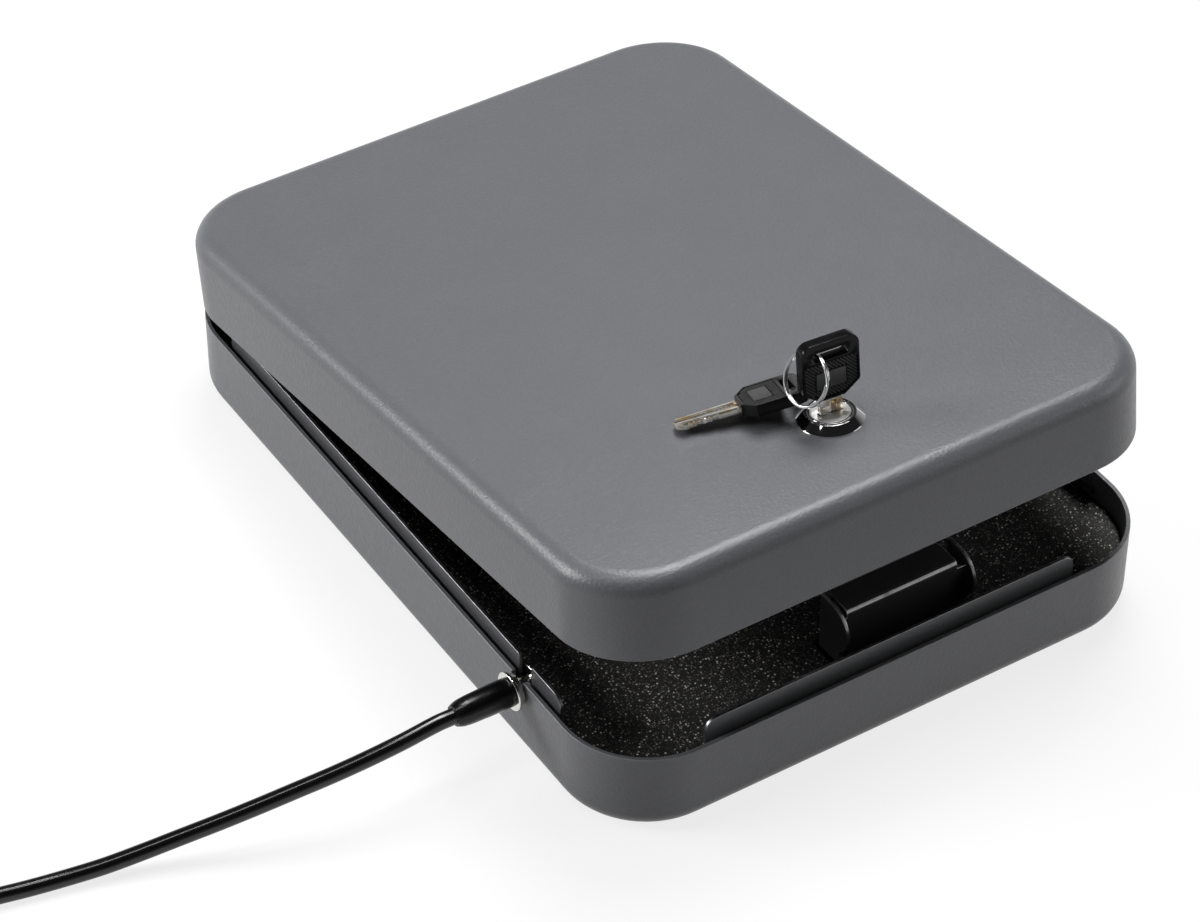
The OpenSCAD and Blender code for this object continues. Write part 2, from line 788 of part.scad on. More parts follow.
// Free stretch from the boot, over the floor, to the coil
lead_route = [[-132, -86, 26.5], [-138, -86, 26.5], [-150, -86.4, 25], [-162, -84.9, 23],
    [-174, -82.8, 20.6], [-186, -80.1, 17.8], [-198, -77.1, 14.7], [-210, -73.8, 11.5],
    [-222, -70.4, 8.5], [-234, -67.3, 5.8], [-246, -64.6, 3.9], [-258, -61.9, 3],
    [-270, -59.4, 2.8], [-282, -56.6, 2.8], [-294, -54.6, 3.1], [-306, -54, 3.6],
    [-312.5, -54, 3.6]];

function smooth(t) = t * t * (3 - 2 * t);

// One turn number s gives the share of the climb, the radius, the height and the place
function climbed(s) = min(1, max(0, (s - coil_turns_low) / coil_climb));
function coil_radius(s) = coil_in_r - coil_dip * sin(180 * climbed(s))
    + coil_pitch * (max(0, coil_turns_low - s) + max(0, s - coil_turns_low - coil_climb));
function coil_point(s) = let (a = coil_start - 360 * s) coil_at
    + [coil_radius(s) * cos(a), coil_radius(s) * sin(a), layer_low + layer_step * smooth(climbed(s))];
function coil_heading(s) = let (a = coil_start - 360 * s) [sin(a), -cos(a), 0];
coil_turns = coil_turns_low + coil_climb + coil_turns_high;
coil_loops = [for (i = [0 : rings_per_turn * coil_turns]) coil_point(i / rings_per_turn)];

// The coil's ends run straight for one diameter
coil_end = coil_point(coil_turns) + cable_d * coil_heading(coil_turns);
coil_route = concat([coil_point(0) - cable_d * coil_heading(0)], coil_loops, [coil_end]);

// The tail comes down from the upper layer along the coil's last heading
tail_heading = coil_start - 360 * coil_turns - 90;
tail_run = [[0, 0], [6, 0], [14, -0.8], [22, -2], [30, -3.4], [38, -4.8], [46, -5.8],
    [53, -6.3], [60, -6.3]];
tail_route = [for (p = tail_run)
    coil_end + [p[0] * cos(tail_heading), p[0] * sin(tail_heading), p[1]]];

// Crimped ferrule and the eye of cable beyond it, in the ferrule's own frame
ferrule_len = 18;
strand_y = 2.9;
ferrule_r = 3.3;
eye_half = [[18, 2.9], [24, 2.9], [30, 4], [37, 7.2], [44, 10.4], [51, 12], [58, 11.6],
    [64, 8.4], [67.5, 3.4]];
eye_route = [for (p = concat(eye_half, [for (i = [len(eye_half) - 1 : -1 : 0])
    [eye_half[i][0], -eye_half[i][1]]])) [p[0], p[1], 0]];

function unit(v) = v / norm(v);
function heading(p, i) = unit(p[min(i + 1, len(p) - 1)] - p[max(i - 1, 0)]);
function tube_ring(p, i, r, sides) =
    let (t = heading(p, i), side = unit(cross(t, [0, 0, 1])), up = cross(side, t))
    [for (k = [0 : sides - 1]) let (a = 360 * (k + 0.5) / sides)
        p[i] + r * (cos(a) * side + sin(a) * up)];

// Tube of a given radius and number of sides along the points of a route
module tube(route, r, sides) {
    n = len(route);
    last = (n - 1) * sides;
    polyhedron(
        points = [for (i = [0 : n - 1]) each tube_ring(route, i, r, sides)],
        faces = concat(
            [for (k = [1 : sides - 2]) [0, k, k + 1]],
            [for (i = [0 : n - 2], k = [0 : sides - 1]) let (a = i * sides + k,
                b = i * sides + (k + 1) % sides) each [[a, b + sides, b], [a, a + sides, b + sides]]],
            [for (k = [1 : sides - 2]) [last, last + k + 1, last + k]]));
}

// Least distance between turns of the coil, less the cable: prints the gap that is left
half_turn = rings_per_turn / 2;
coil_gap = min([for (i = [0 : len(coil_route) - half_turn - 1],
    j = [i + half_turn : len(coil_route) - 1]) norm(coil_route[i] - coil_route[j])]) - cable_d;
echo(coil_gap = coil_gap);

module cable_lead() {
    color(black) tube(lead_route, cable_d / 2, 8);
}

module cable_coil() {
    color(black) tube(coil_route, cable_d / 2, 6);
}

module cable_tail() {
    color(black) tube(tail_route, cable_d / 2, 8);
}

// Places things in the ferrule's frame, with the standing strand at y = strand_y
module at_ferrule() {
    translate(tail_route[len(tail_route) - 1]) rotate([0, 0, tail_heading])
        translate([0, -strand_y, 0]) children();
}

module cable_ferrule() {
    color(zinc) at_ferrule() rotate([90, 0, 90]) linear_extrude(ferrule_len) {
        for (s = [-1, 1]) translate([s * strand_y, 0]) circle(ferrule_r);
        square([2 * strand_y, 2 * ferrule_r], center = true);
    }
}

module cable_eye() {
    color(black) at_ferrule() tube(eye_route, cable_d / 2, 8);
}

// Bands round the coil's bundle of turns
module coil_ties() {
    band_w = 10;
    in_r = coil_in_r - coil_dip - cable_d / 2 - 0.9;
    out_r = coil_in_r + coil_pitch * coil_turns_low + cable_d / 2 + 0.5;
    top = layer_low + layer_step + cable_d / 2 + 0.5;
    color("#303034") for (a = [10, 190]) translate(coil_at) rotate([0, 0, a]) difference() {
        translate([in_r - tie_t, -band_w / 2, 0])
            cube([out_r - in_r + 2 * tie_t, band_w, top + tie_t]);
        translate([in_r, -band_w, tie_t]) cube([out_r - in_r, 2 * band_w, top - tie_t]);
    }
}

base_shell();
lid_shell();
front_lip();
left_lip_rear();
left_lip_front();
right_lip();
catch_plate();
catch_cheeks();
base_foam();
lid_foam();
hinge_leaf_base();
hinge_leaf_lid();
hinge_pin();
lock_body();
lock_nut();
lock_washer();
lock_plug();
lock_wafers();
wafer_springs();
lock_stop_washer();
lock_cam();
cam_washer();
cam_nut();
key_1_blade();
key_1_head();
key_ring();
key_2_blade();
key_2_head();
cable_collar();
cable_boot();
cable_lead();
cable_coil();
coil_ties();
cable_tail();
cable_ferrule();
cable_eye();
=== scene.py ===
"""Steel lock box with a tether cable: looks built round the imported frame.

Frame: metres, origin at the centre of the base's underside, +X right, -Y front (lock), +Z up.
Sizes written below are millimetres and are scaled by MM.
"""

import math

import bpy
import bmesh
from mathutils import Matrix, Vector, noise


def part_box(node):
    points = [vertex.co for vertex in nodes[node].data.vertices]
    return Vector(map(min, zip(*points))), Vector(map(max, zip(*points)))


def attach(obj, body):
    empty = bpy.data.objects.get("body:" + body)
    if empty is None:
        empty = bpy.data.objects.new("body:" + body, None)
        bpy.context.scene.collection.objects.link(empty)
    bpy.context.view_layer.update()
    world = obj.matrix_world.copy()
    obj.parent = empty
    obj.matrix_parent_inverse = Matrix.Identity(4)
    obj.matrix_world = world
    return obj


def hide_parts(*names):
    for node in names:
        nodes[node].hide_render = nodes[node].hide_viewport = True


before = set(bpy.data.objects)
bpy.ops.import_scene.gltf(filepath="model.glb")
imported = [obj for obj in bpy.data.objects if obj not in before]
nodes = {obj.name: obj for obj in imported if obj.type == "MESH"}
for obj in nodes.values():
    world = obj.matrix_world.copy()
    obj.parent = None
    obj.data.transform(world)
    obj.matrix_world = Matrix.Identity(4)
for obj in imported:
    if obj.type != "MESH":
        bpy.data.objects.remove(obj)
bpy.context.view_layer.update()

MM = 0.001
LID_OPEN = 7.8            # degrees the lid stands open
LID_TOP = 63.5            # height of the closed lid
HINGE = (144.5, 32.5)     # y and z of the hinge pin
LOCK = (2.0, -103.6)      # x and y of the lock on the closed lid
PLUG_TURN = -6.0          # degrees the plug stands turned
CABLE_D = 5.5
CABLE_EXIT = (-132.0, -86.0, 26.5)

# ---------------------------------------------------------------- camera

VIEW_AZ, VIEW_EL, VIEW_ROLL = -32.702, 41.434, 0.229    # degrees
VIEW_DIST, VIEW_LENS = 1412.511, 125.07
AIM_RIGHT, AIM_UP, AIM_Z = -18.504, -24.45, 40.0        # middle of the picture, from the box's axis


def add_camera():
    az, el, roll = (math.radians(v) for v in (VIEW_AZ, VIEW_EL, VIEW_ROLL))
    back = Vector((math.sin(az) * math.cos(el), -math.cos(az) * math.cos(el), math.sin(el)))
    right = (-back).cross(Vector((0, 0, 1))).normalized()
    up = right.cross(-back)
    target = Vector((0, 0, AIM_Z)) + right * AIM_RIGHT + up * AIM_UP
    place = (target + back * VIEW_DIST) * MM
    r2 = right * math.cos(roll) + up * math.sin(roll)
    u2 = -right * math.sin(roll) + up * math.cos(roll)
    data = bpy.data.cameras.new("camera")
    data.sensor_fit = "HORIZONTAL"
    data.sensor_width = 36.0
    data.lens = VIEW_LENS
    data.clip_start = 0.05
    data.clip_end = 20.0
    camera = bpy.data.objects.new("camera", data)
    camera.matrix_world = Matrix(((r2.x, u2.x, back.x, place.x), (r2.y, u2.y, back.y, place.y),
                                  (r2.z, u2.z, back.z, place.z), (0, 0, 0, 1)))
    bpy.context.scene.collection.objects.link(camera)
    bpy.context.scene.camera = camera


add_camera()

# ---------------------------------------------------------------- places in the frame


def shift(x, y, z):
    return Matrix.Translation(Vector((x, y, z)) * MM)


def turn(degrees, axis):
    return Matrix.Rotation(math.radians(degrees), 4, axis)


def turn_xyz(x, y, z):
    return turn(z, "Z") @ turn(y, "Y") @ turn(x, "X")


IN_LID = shift(0, *HINGE) @ turn(-LID_OPEN, "X") @ shift(0, -HINGE[0], -HINGE[1])
ON_LOCK = IN_LID @ shift(LOCK[0], LOCK[1], LID_TOP)
IN_PLUG = ON_LOCK @ turn(PLUG_TURN, "Z")
KEY_STANDOUT, BLADE_LEN = 8.8, 21.3
KEY_2_TIP, KEY_2_LEAN = (-42.8, 24.3, 2.2), (-16.1, -6.5, -17.1)    # from the lock, for a key lying down
RING_AT, RING_LEAN = (-8.4, 0, 18.2), (63.6, 0, -80.2)              # from the lock, for a ring lying flat
KEY_1 = IN_PLUG @ shift(0, 0, KEY_STANDOUT)
KEY_2 = (ON_LOCK @ shift(*KEY_2_TIP) @ turn_xyz(*KEY_2_LEAN) @ turn_xyz(90, 0, 90)
         @ shift(0, 0, BLADE_LEN))
RING = ON_LOCK @ shift(*RING_AT) @ turn_xyz(*RING_LEAN)

# ---------------------------------------------------------------- mesh helpers


def add_to_scene(name, data):
    piece = bpy.data.objects.new(name, data)
    bpy.context.scene.collection.objects.link(piece)
    return piece


def from_bmesh(name, bm, place, material, smooth_below=35.0):
    """New piece from a bmesh in millimetres, put at a place in the frame."""
    bmesh.ops.remove_doubles(bm, verts=bm.verts, dist=1e-5)
    bmesh.ops.recalc_face_normals(bm, faces=bm.faces)
    bm.transform(Matrix.Scale(MM, 4))
    mesh = bpy.data.meshes.new(name)
    bm.to_mesh(mesh)
    bm.free()
    for p in mesh.polygons:
        p.use_smooth = True
    mesh.set_sharp_from_angle(angle=math.radians(smooth_below))
    mesh.materials.append(material)
    piece = add_to_scene(name, mesh)
    piece.matrix_world = place
    return piece


def filleted(points, radii, steps=4, closed=True):
    """Polyline with its corners rounded. radii is one number or one for each point."""
    n = len(points)
    if not isinstance(radii, (list, tuple)):
        radii = [radii] * n
    out = []
    for i, p in enumerate(points):
        p = Vector(p)
        r = radii[i]
        if r <= 0 or (not closed and i in (0, n - 1)):
            out.append(p)
            continue
        a, b = Vector(points[i - 1]) - p, Vector(points[(i + 1) % n]) - p
        la, lb = a.length, b.length
        a, b = a / la, b / lb
        half = math.acos(max(-1.0, min(1.0, a.dot(b)))) / 2
        cut = min(r / math.tan(half), 0.49 * la, 0.49 * lb)
        r = cut * math.tan(half)
        centre = p + (a + b).normalized() * (r / math.sin(half))
        start, end = p + a * cut - centre, p + b * cut - centre
        sweep = math.pi - 2 * half
        sign = 1 if start.x * end.y - start.y * end.x > 0 else -1
        for k in range(steps + 1):
            t = sign * sweep * k / steps
            out.append(centre + Vector((start.x * math.cos(t) - start.y * math.sin(t),
                                        start.x * math.sin(t) + start.y * math.cos(t))))
    return [(p.x, p.y) for p in out]


def block(x0, y0, x1, y1):
    """Outline of a rectangle between two corners."""
    return [(x0, y0), (x1, y0), (x1, y1), (x0, y1)]


def circle(r, n):
    return [(r * math.cos(2 * math.pi * i / n), r * math.sin(2 * math.pi * i / n)) for i in range(n)]


def lathed(bm, profile, steps, shape=None):
    """Turned form round local Z from (radius, z) points. shape(angle, r, z) may move each point."""
    rings = []
    for k in range(steps):
        a = 2 * math.pi * k / steps
        ring = []
        for r, z in profile:
            x, y, h = r * math.cos(a), r * math.sin(a), z
            if shape:
                x, y, h = shape(a, r, z)
            ring.append(bm.verts.new((x, y, h)))
        rings.append(ring)
    for k in range(steps):
        one, two = rings[k], rings[(k + 1) % steps]
        for i in range(len(profile) - 1):
            quad = [one[i], one[i + 1], two[i + 1], two[i]]
            if profile[i][0] < 1e-6:
                quad = [one[i], one[i + 1], two[i + 1]]
            elif profile[i + 1][0] < 1e-6:
                quad = [one[i], one[i + 1], two[i]]
            bm.faces.new(quad)


def plate(outlines, low, high, edge=0.0, steps=3):
    """Plate between two heights from closed outlines: the first is the outside, the others are holes."""
    bm = bmesh.new()
    edges = []
    for outline in outlines:
        ring = [bm.verts.new((x, y, low)) for x, y in outline]
        edges += [bm.edges.new((ring[i - 1], ring[i])) for i in range(len(ring))]
    bmesh.ops.triangle_fill(bm, use_beauty=True, use_dissolve=False, edges=edges)
    bmesh.ops.dissolve_limit(bm, angle_limit=0.001, verts=bm.verts, edges=bm.edges)
    made = bmesh.ops.extrude_face_region(bm, geom=bm.faces[:])
    for v in made["geom"]:
        if isinstance(v, bmesh.types.BMVert):
            v.co.z = high
    bmesh.ops.recalc_face_normals(bm, faces=bm.faces)
    if edge > 0:
        rims = [e for e in bm.edges if len(e.link_faces) == 2
                and abs(e.verts[0].co.z - e.verts[1].co.z) < 1e-6
                and e.calc_face_angle(0) > math.radians(60)]
        bmesh.ops.bevel(bm, geom=rims, offset=edge, offset_type="OFFSET", segments=steps,
                        profile=0.5, affect="EDGES", clamp_overlap=True)
    return bm


def flat_plate(name, outlines, low, high, edge, place, material, steps=3):
    return from_bmesh(name, plate(outlines, low, high, edge, steps), place, material, 40.0)


def standing(x, y, z, along):
    """Place for a plate on edge: its first axis runs in a level direction and its second is up."""
    u = Vector((*along, 0))
    return shift(x, y, z) @ Matrix((u, (0, 0, 1), u.cross(Vector((0, 0, 1))))).transposed().to_4x4()


def cut_across(bm, levels):
    """Cuts a plate along its second axis, so that it can be bent there."""
    for level in levels:
        bmesh.ops.bisect_plane(bm, geom=bm.verts[:] + bm.edges[:] + bm.faces[:], dist=1e-5,
                               plane_co=(0, level, 0), plane_no=(0, 1, 0))


def mark_rims(bm):
    """Gives the thin faces round a plate, still flat, the second material."""
    bm.normal_update()
    for face in bm.faces:
        face.material_index = 0 if abs(face.normal.z) > 0.5 else 1


def merged(parts):
    """One bmesh out of several."""
    for part in parts[1:]:
        mesh = bpy.data.meshes.new("part")
        part.to_mesh(mesh)
        part.free()
        parts[0].from_mesh(mesh)
        bpy.data.meshes.remove(mesh)
    return parts[0]


def rounded_edges(piece, width, steps, wear_and_highlight=None):
    """Rounds the sharp edges, and gives them a second material if there is one: coating rubbed thin, with a
    painted highlight that stands in for the light the rounded edges catch.
    """
    bevel = piece.modifiers.new("edges", "BEVEL")
    bevel.width = width * MM
    bevel.segments = steps
    bevel.limit_method = "ANGLE"
    bevel.angle_limit = math.radians(40)
    bevel.harden_normals = True
    bevel.use_clamp_overlap = True
    if wear_and_highlight:
        piece.data.materials.append(wear_and_highlight)
        bevel.material = 1


def joined_rings(bm, rings):
    """Faces between rings of as many points each."""
    for one, two in zip(rings, rings[1:]):
        for k in range(len(one)):
            m = (k + 1) % len(one)
            bm.faces.new([one[k], one[m], two[m], two[k]])


def swept(bm, path, section, up=(0, 0, 1)):
    """Section points carried along a path of points, kept upright by the given direction."""
    path = [Vector(p) for p in path]
    rings = []
    for i, p in enumerate(path):
        ahead = (path[min(i + 1, len(path) - 1)] - path[max(i - 1, 0)]).normalized()
        side = ahead.cross(Vector(up)).normalized()
        top = side.cross(ahead)
        rings.append([bm.verts.new(p + side * u + top * v) for u, v in section])
    joined_rings(bm, rings)
    bm.faces.new(list(reversed(rings[0])))
    bm.faces.new(rings[-1])


def join(name, pieces):
    """One piece made of several at the same place, with each one's material kept."""
    bm = bmesh.new()
    materials = []
    place = pieces[0].matrix_world.copy()
    for piece in pieces:
        material = piece.data.materials[0]
        if material not in materials:
            materials.append(material)
        count = len(bm.faces)
        bm.from_mesh(piece.data)
        bm.faces.ensure_lookup_table()
        for face in bm.faces[count:]:
            face.material_index = materials.index(material)
        bpy.data.objects.remove(piece)
    mesh = bpy.data.meshes.new(name)
    bm.to_mesh(mesh)
    bm.free()
    for material in materials:
        mesh.materials.append(material)
    piece = add_to_scene(name, mesh)
    piece.matrix_world = place
    return piece


def smooth_group():
    """Joins a CAD mesh's split corners and gives it plain normals, so that a bevel can follow."""
    group = bpy.data.node_groups.new("joined_corners", "GeometryNodeTree")
    group.interface.new_socket("Geometry", in_out="INPUT", socket_type="NodeSocketGeometry")
    group.interface.new_socket("Geometry", in_out="OUTPUT", socket_type="NodeSocketGeometry")
    start, end = group.nodes.new("NodeGroupInput"), group.nodes.new("NodeGroupOutput")
    merge = group.nodes.new("GeometryNodeMergeByDistance")
    merge.inputs["Distance"].default_value = 2e-6
    angle = group.nodes.new("GeometryNodeInputMeshEdgeAngle")
    sharp = group.nodes.new("FunctionNodeCompare")
    sharp.data_type = "FLOAT"
    sharp.operation = "GREATER_THAN"
    sharp.inputs[1].default_value = math.radians(30)
    normal = group.nodes.new("GeometryNodeSetMeshNormal")
    normal.mode = "SHARPNESS"
    links = group.links
    links.new(start.outputs[0], merge.inputs["Geometry"])
    links.new(merge.outputs[0], normal.inputs["Mesh"])
    links.new(angle.outputs["Unsigned Angle"], sharp.inputs[0])
    links.new(sharp.outputs[0], normal.inputs["Edge Sharpness"])
    links.new(normal.outputs[0], end.inputs[0])
    return group


JOINED = smooth_group()


def soften(name, edge, material, wear_and_highlight=None):
    """Gives a CAD node its material and rounds its sharp edges, in a second material if there is one."""
    node = nodes[name]
    node.data.materials.clear()
    node.data.materials.append(material)
    if edge > 0:
        node.modifiers.new("joined", "NODES").node_group = JOINED
        rounded_edges(node, edge, 2, wear_and_highlight)


# ---------------------------------------------------------------- materials


def grey(value):
    return (value, value, value, 1.0)


class Shader:
    """Small helper that builds one procedural material."""

    def __init__(self, name, colour, rough, metal=0.0, **sockets):
        self.material = bpy.data.materials.new(name)
        self.material.use_nodes = True
        self.tree = self.material.node_tree
        self.main = self.tree.nodes["Principled BSDF"]
        self.set("Base Color", (*colour, 1.0))
        self.set("Roughness", rough)
        self.set("Metallic", metal)
        for key, value in sockets.items():
            self.set(key.replace("_", " "), value)
        self.place = self.tree.nodes.new("ShaderNodeTexCoord").outputs["Object"]
        self.normal = None

    def set(self, socket, value):
        self.main.inputs[socket].default_value = value

    def stretched(self, scale):
        node = self.tree.nodes.new("ShaderNodeMapping")
        node.inputs["Scale"].default_value = scale
        self.tree.links.new(self.place, node.inputs["Vector"])
        return node.outputs[0]

    def noise(self, scale, detail=3.0, roughness=0.55, vector=None):
        node = self.tree.nodes.new("ShaderNodeTexNoise")
        node.inputs["Scale"].default_value = scale
        node.inputs["Detail"].default_value = detail
        node.inputs["Roughness"].default_value = roughness
        self.tree.links.new(vector or self.place, node.inputs["Vector"])
        return node.outputs["Fac"]

    def cells(self, scale):
        """Distance from the middle of each cell. last_cell is a random value for each cell."""
        node = self.tree.nodes.new("ShaderNodeTexVoronoi")
        node.inputs["Scale"].default_value = scale
        self.tree.links.new(self.place, node.inputs["Vector"])
        chance = self.tree.nodes.new("ShaderNodeSeparateColor")
        self.tree.links.new(node.outputs["Color"], chance.inputs[0])
        self.last_cell = chance.outputs[0]
        return node.outputs["Distance"]

    def ramp(self, value, stops):
        node = self.tree.nodes.new("ShaderNodeValToRGB")
        ramp = node.color_ramp
        while len(ramp.elements) < len(stops):
            ramp.elements.new(0.5)
        for element, (at, colour) in zip(ramp.elements, stops):
            element.position = at
            element.color = (*colour, 1.0) if isinstance(colour, tuple) else grey(colour)
        self.tree.links.new(value, node.inputs["Fac"])
        return node.outputs["Color"]

    def maths(self, operation, a, b):
        node = self.tree.nodes.new("ShaderNodeMath")
        node.operation = operation
        for socket, value in zip(node.inputs, (a, b)):
            if isinstance(value, (int, float)):
                socket.default_value = value
            else:
                self.tree.links.new(value, socket)
        return node.outputs[0]

    def to(self, socket, output):
        self.tree.links.new(output, self.main.inputs[socket])

    def bump(self, height, distance, strength=1.0):
        node = self.tree.nodes.new("ShaderNodeBump")
        node.inputs["Strength"].default_value = strength
        node.inputs["Distance"].default_value = distance * MM
        self.tree.links.new(height, node.inputs["Height"])
        if self.normal is not None:
            self.tree.links.new(self.normal, node.inputs["Normal"])
        self.normal = node.outputs[0]
        self.to("Normal", self.normal)


def shaded(colour, factor):
    return tuple(c * factor for c in colour)


def powder_coat(name, colour, rough):
    """Satin powder coat: fine orange peel, faint mottling and a sparse lighter fleck."""
    s = Shader(name, colour, rough, Specular_IOR_Level=0.45)
    mottle = s.noise(42, 4, 0.6)
    fleck = s.noise(1500, 2, 0.7)
    mix = s.maths("ADD", s.maths("MULTIPLY", mottle, 0.2), s.maths("MULTIPLY", fleck, 0.8))
    s.to("Base Color", s.ramp(mix, [(0.30, shaded(colour, 0.90)), (0.52, colour),
                                    (0.70, shaded(colour, 1.16))]))
    s.to("Roughness", s.ramp(s.noise(380, 3), [(0.3, rough - 0.03), (0.7, rough + 0.04)]))
    s.bump(s.noise(900, 3, 0.6), 0.26, 0.6)
    return s.material


def bare_metal(name, colour, rough, grain=(1, 1, 1), scratch=0.004, tint=0.06):
    """Plated or polished metal with fine drawn lines, faint patches and uneven shine."""
    s = Shader(name, colour, rough, 1.0)
    lines = s.noise(900, 3, 0.6, s.stretched(grain))
    s.to("Base Color", s.ramp(s.noise(260, 3), [(0.3, shaded(colour, 1 - tint)), (0.7, colour)]))
    s.to("Roughness", s.ramp(lines, [(0.3, max(0.02, rough * 0.7)), (0.75, rough * 1.45)]))
    s.bump(lines, scratch, 0.6)
    return s.material


def moulded(name, colour, rough, grain=0.02, scale=1400, spec=0.5):
    """Moulded plastic: very fine texture and slightly uneven gloss."""
    s = Shader(name, colour, rough, Specular_IOR_Level=spec)
    s.to("Base Color", s.ramp(s.noise(300, 3), [(0.35, shaded(colour, 0.8)), (0.7, shaded(colour, 1.2))]))
    s.to("Roughness", s.ramp(s.noise(500, 3), [(0.3, rough * 0.85), (0.7, rough * 1.2)]))
    s.bump(s.noise(scale, 2, 0.6), grain, 0.5)
    return s.material


def key_alloy(name):
    """Nickel-plated brass: drawn lines along the blade, the brass showing through in warm patches."""
    s = Shader(name, (0.80, 0.78, 0.72), 0.2, 1.0)
    lines = s.noise(700, 3, 0.6, s.stretched((1.0, 0.1, 1.0)))
    s.to("Base Color", s.ramp(s.noise(230, 3), [(0.44, (0.88, 0.86, 0.81)), (0.53, (0.78, 0.70, 0.55)),
                                                (0.64, (0.70, 0.50, 0.28))]))
    s.to("Roughness", s.ramp(lines, [(0.3, 0.13), (0.7, 0.26)]))
    s.bump(lines, 0.0015, 0.6)
    return s.material


def steel_edge_wear_and_highlight(name, colour, rough):
    """Edge of a coated sheet where handling has thinned the coating down to the steel, its colour also a
    painted highlight, light enough to stand in for the light the edge catches.
    """
    s = Shader(name, colour, rough, 1.0)
    s.to("Base Color", s.ramp(s.noise(240, 3), [(0.36, shaded(colour, 0.62)), (0.5, colour),
                                                (0.7, shaded(colour, 1.15))]))
    s.to("Roughness", s.ramp(s.noise(700, 3), [(0.3, rough * 0.8), (0.7, rough * 1.3)]))
    s.bump(s.noise(1600, 2, 0.6), 0.01, 0.4)
    return s.material


def open_cell_foam(name):
    """Black open-cell foam: near black, with cell walls that catch the light as small bright dots."""
    s = Shader(name, (0.03, 0.03, 0.03), 0.7, Specular_IOR_Level=0.4)
    dots = None
    for scale, full, none, most in ((880, 0.20, 0.34, 1.0), (1400, 0.18, 0.34, 0.6)):
        away, chance = s.cells(scale), s.last_cell
        dot = s.maths("MULTIPLY", s.ramp(away, [(full, 1.0), (none, 0.0)]),
                      s.ramp(chance, [(0.20, 0.05 * most), (0.60, 0.40 * most), (0.92, most)]))
        dots = s.maths("MAXIMUM", dots, dot) if dots else dot
    s.to("Base Color", s.ramp(dots, [(0.0, (0.015, 0.0145, 0.014)), (0.4, (0.25, 0.24, 0.22)),
                                     (1.0, (0.90, 0.87, 0.82))]))
    s.bump(s.cells(620), 0.4, 0.7)
    s.bump(s.noise(820, 2, 0.7), 0.15, 0.6)
    return s.material


# Linear colours and roughness, chosen to look as in the photograph under the lamps below.
PAINT = (0.088, 0.090, 0.097)
paint = powder_coat("painted_steel", PAINT, 0.37)
# Lighter copy of the shell's paint for its rounded rims: rubbed coating, and a painted highlight standing in
# for the light the rim edges catch.
rim_paint_wear_and_highlight = powder_coat("painted_steel_rim_wear_and_highlight", shaded(PAINT, 1.75), 0.3)
paint_inside = powder_coat("painted_steel_fittings", (0.030, 0.030, 0.031), 0.34)
# Bare-steel edges of the dark fittings: rubbed coating, and a painted highlight, light enough to show as
# bright lines in the lid's shadow.
inside_edge_wear_and_highlight = steel_edge_wear_and_highlight("fittings_edge_wear_and_highlight", (0.50, 0.50, 0.51), 0.34)
# The front lip is a lit copy of the steel, lighter than the shell's paint to make up for the lid's shadow
# over it: painted light.
front_lip_lit_paint = powder_coat("front_lip_steel_painted_light", (0.098, 0.101, 0.105), 0.36)
# The side lips are a shaded copy of the same steel, darker: painted shade.
side_lips_shaded_paint = powder_coat("side_lips_steel_painted_shade", (0.055, 0.056, 0.059), 0.36)
# Edges of the lips: rubbed coating, and a painted highlight along the sheet's edge.
lip_edge_wear_and_highlight = steel_edge_wear_and_highlight("lip_edge_wear_and_highlight", (0.22, 0.22, 0.23), 0.36)
foam = open_cell_foam("foam")
chrome = bare_metal("chrome", (0.80, 0.80, 0.81), 0.05, scratch=0.0008, tint=0.03)
face_metal = bare_metal("plug_face_metal", (0.80, 0.795, 0.78), 0.38, grain=(1, 5, 1), scratch=0.0003,
                        tint=0.05)
plated = bare_metal("zinc_plate", (0.62, 0.62, 0.63), 0.3, scratch=0.0012, tint=0.12)
ferrule_metal = bare_metal("ferrule_alloy", (0.58, 0.58, 0.59), 0.4, grain=(1, 4, 1), scratch=0.001,
                           tint=0.14)
collar_metal = bare_metal("collar_plate", (0.72, 0.71, 0.68), 0.14, scratch=0.004)
brass = bare_metal("wafer_brass", (0.72, 0.53, 0.24), 0.3)
blade_metal = key_alloy("key_metal")
ring_metal = bare_metal("ring_steel", (0.54, 0.54, 0.55), 0.13, scratch=0.0005)
key_plastic = moulded("key_plastic", (0.004, 0.004, 0.0045), 0.19, grain=0.002, spec=0.13)
key_rib = moulded("key_plastic_ribs", (0.012, 0.012, 0.0125), 0.3, grain=0.004, spec=0.5)
# Raised panel: a textured finish, and a colour lighter than the rest of the head that is a painted sheen.
key_panel_sheen = moulded("key_plastic_panel_sheen", (0.024, 0.0245, 0.024), 0.42, grain=0.02, scale=900, spec=0.6)
# Floor of the sunk grip area, darker than the rest of the head: painted shade between the ribs.
key_hollow_shade = moulded("key_plastic_hollow_shade", (0.003, 0.003, 0.003), 0.6, grain=0.01, spec=0.12)
sleeve = moulded("cable_coating", (0.004, 0.004, 0.0045), 0.17, grain=0.004, scale=240, spec=0.5)
boot_plastic = moulded("boot_sleeve", (0.004, 0.004, 0.0045), 0.22, grain=0.02, scale=260, spec=0.3)


def woven_strap(name):
    """Dull webbing with a fine weave."""
    s = Shader(name, (0.012, 0.012, 0.0125), 0.75, Sheen_Weight=0.04, Specular_IOR_Level=0.25)
    wave = s.tree.nodes.new("ShaderNodeTexWave")
    wave.inputs["Scale"].default_value = 420
    wave.inputs["Distortion"].default_value = 1.5
    s.tree.links.new(s.place, wave.inputs["Vector"])
    s.to("Base Color", s.ramp(wave.outputs["Fac"], [(0.2, 0.006), (0.8, 0.024)]))
    s.bump(wave.outputs["Fac"], 0.12, 0.7)
    return s.material


strap = woven_strap("tie_strap")

# ---------------------------------------------------------------- tether cable

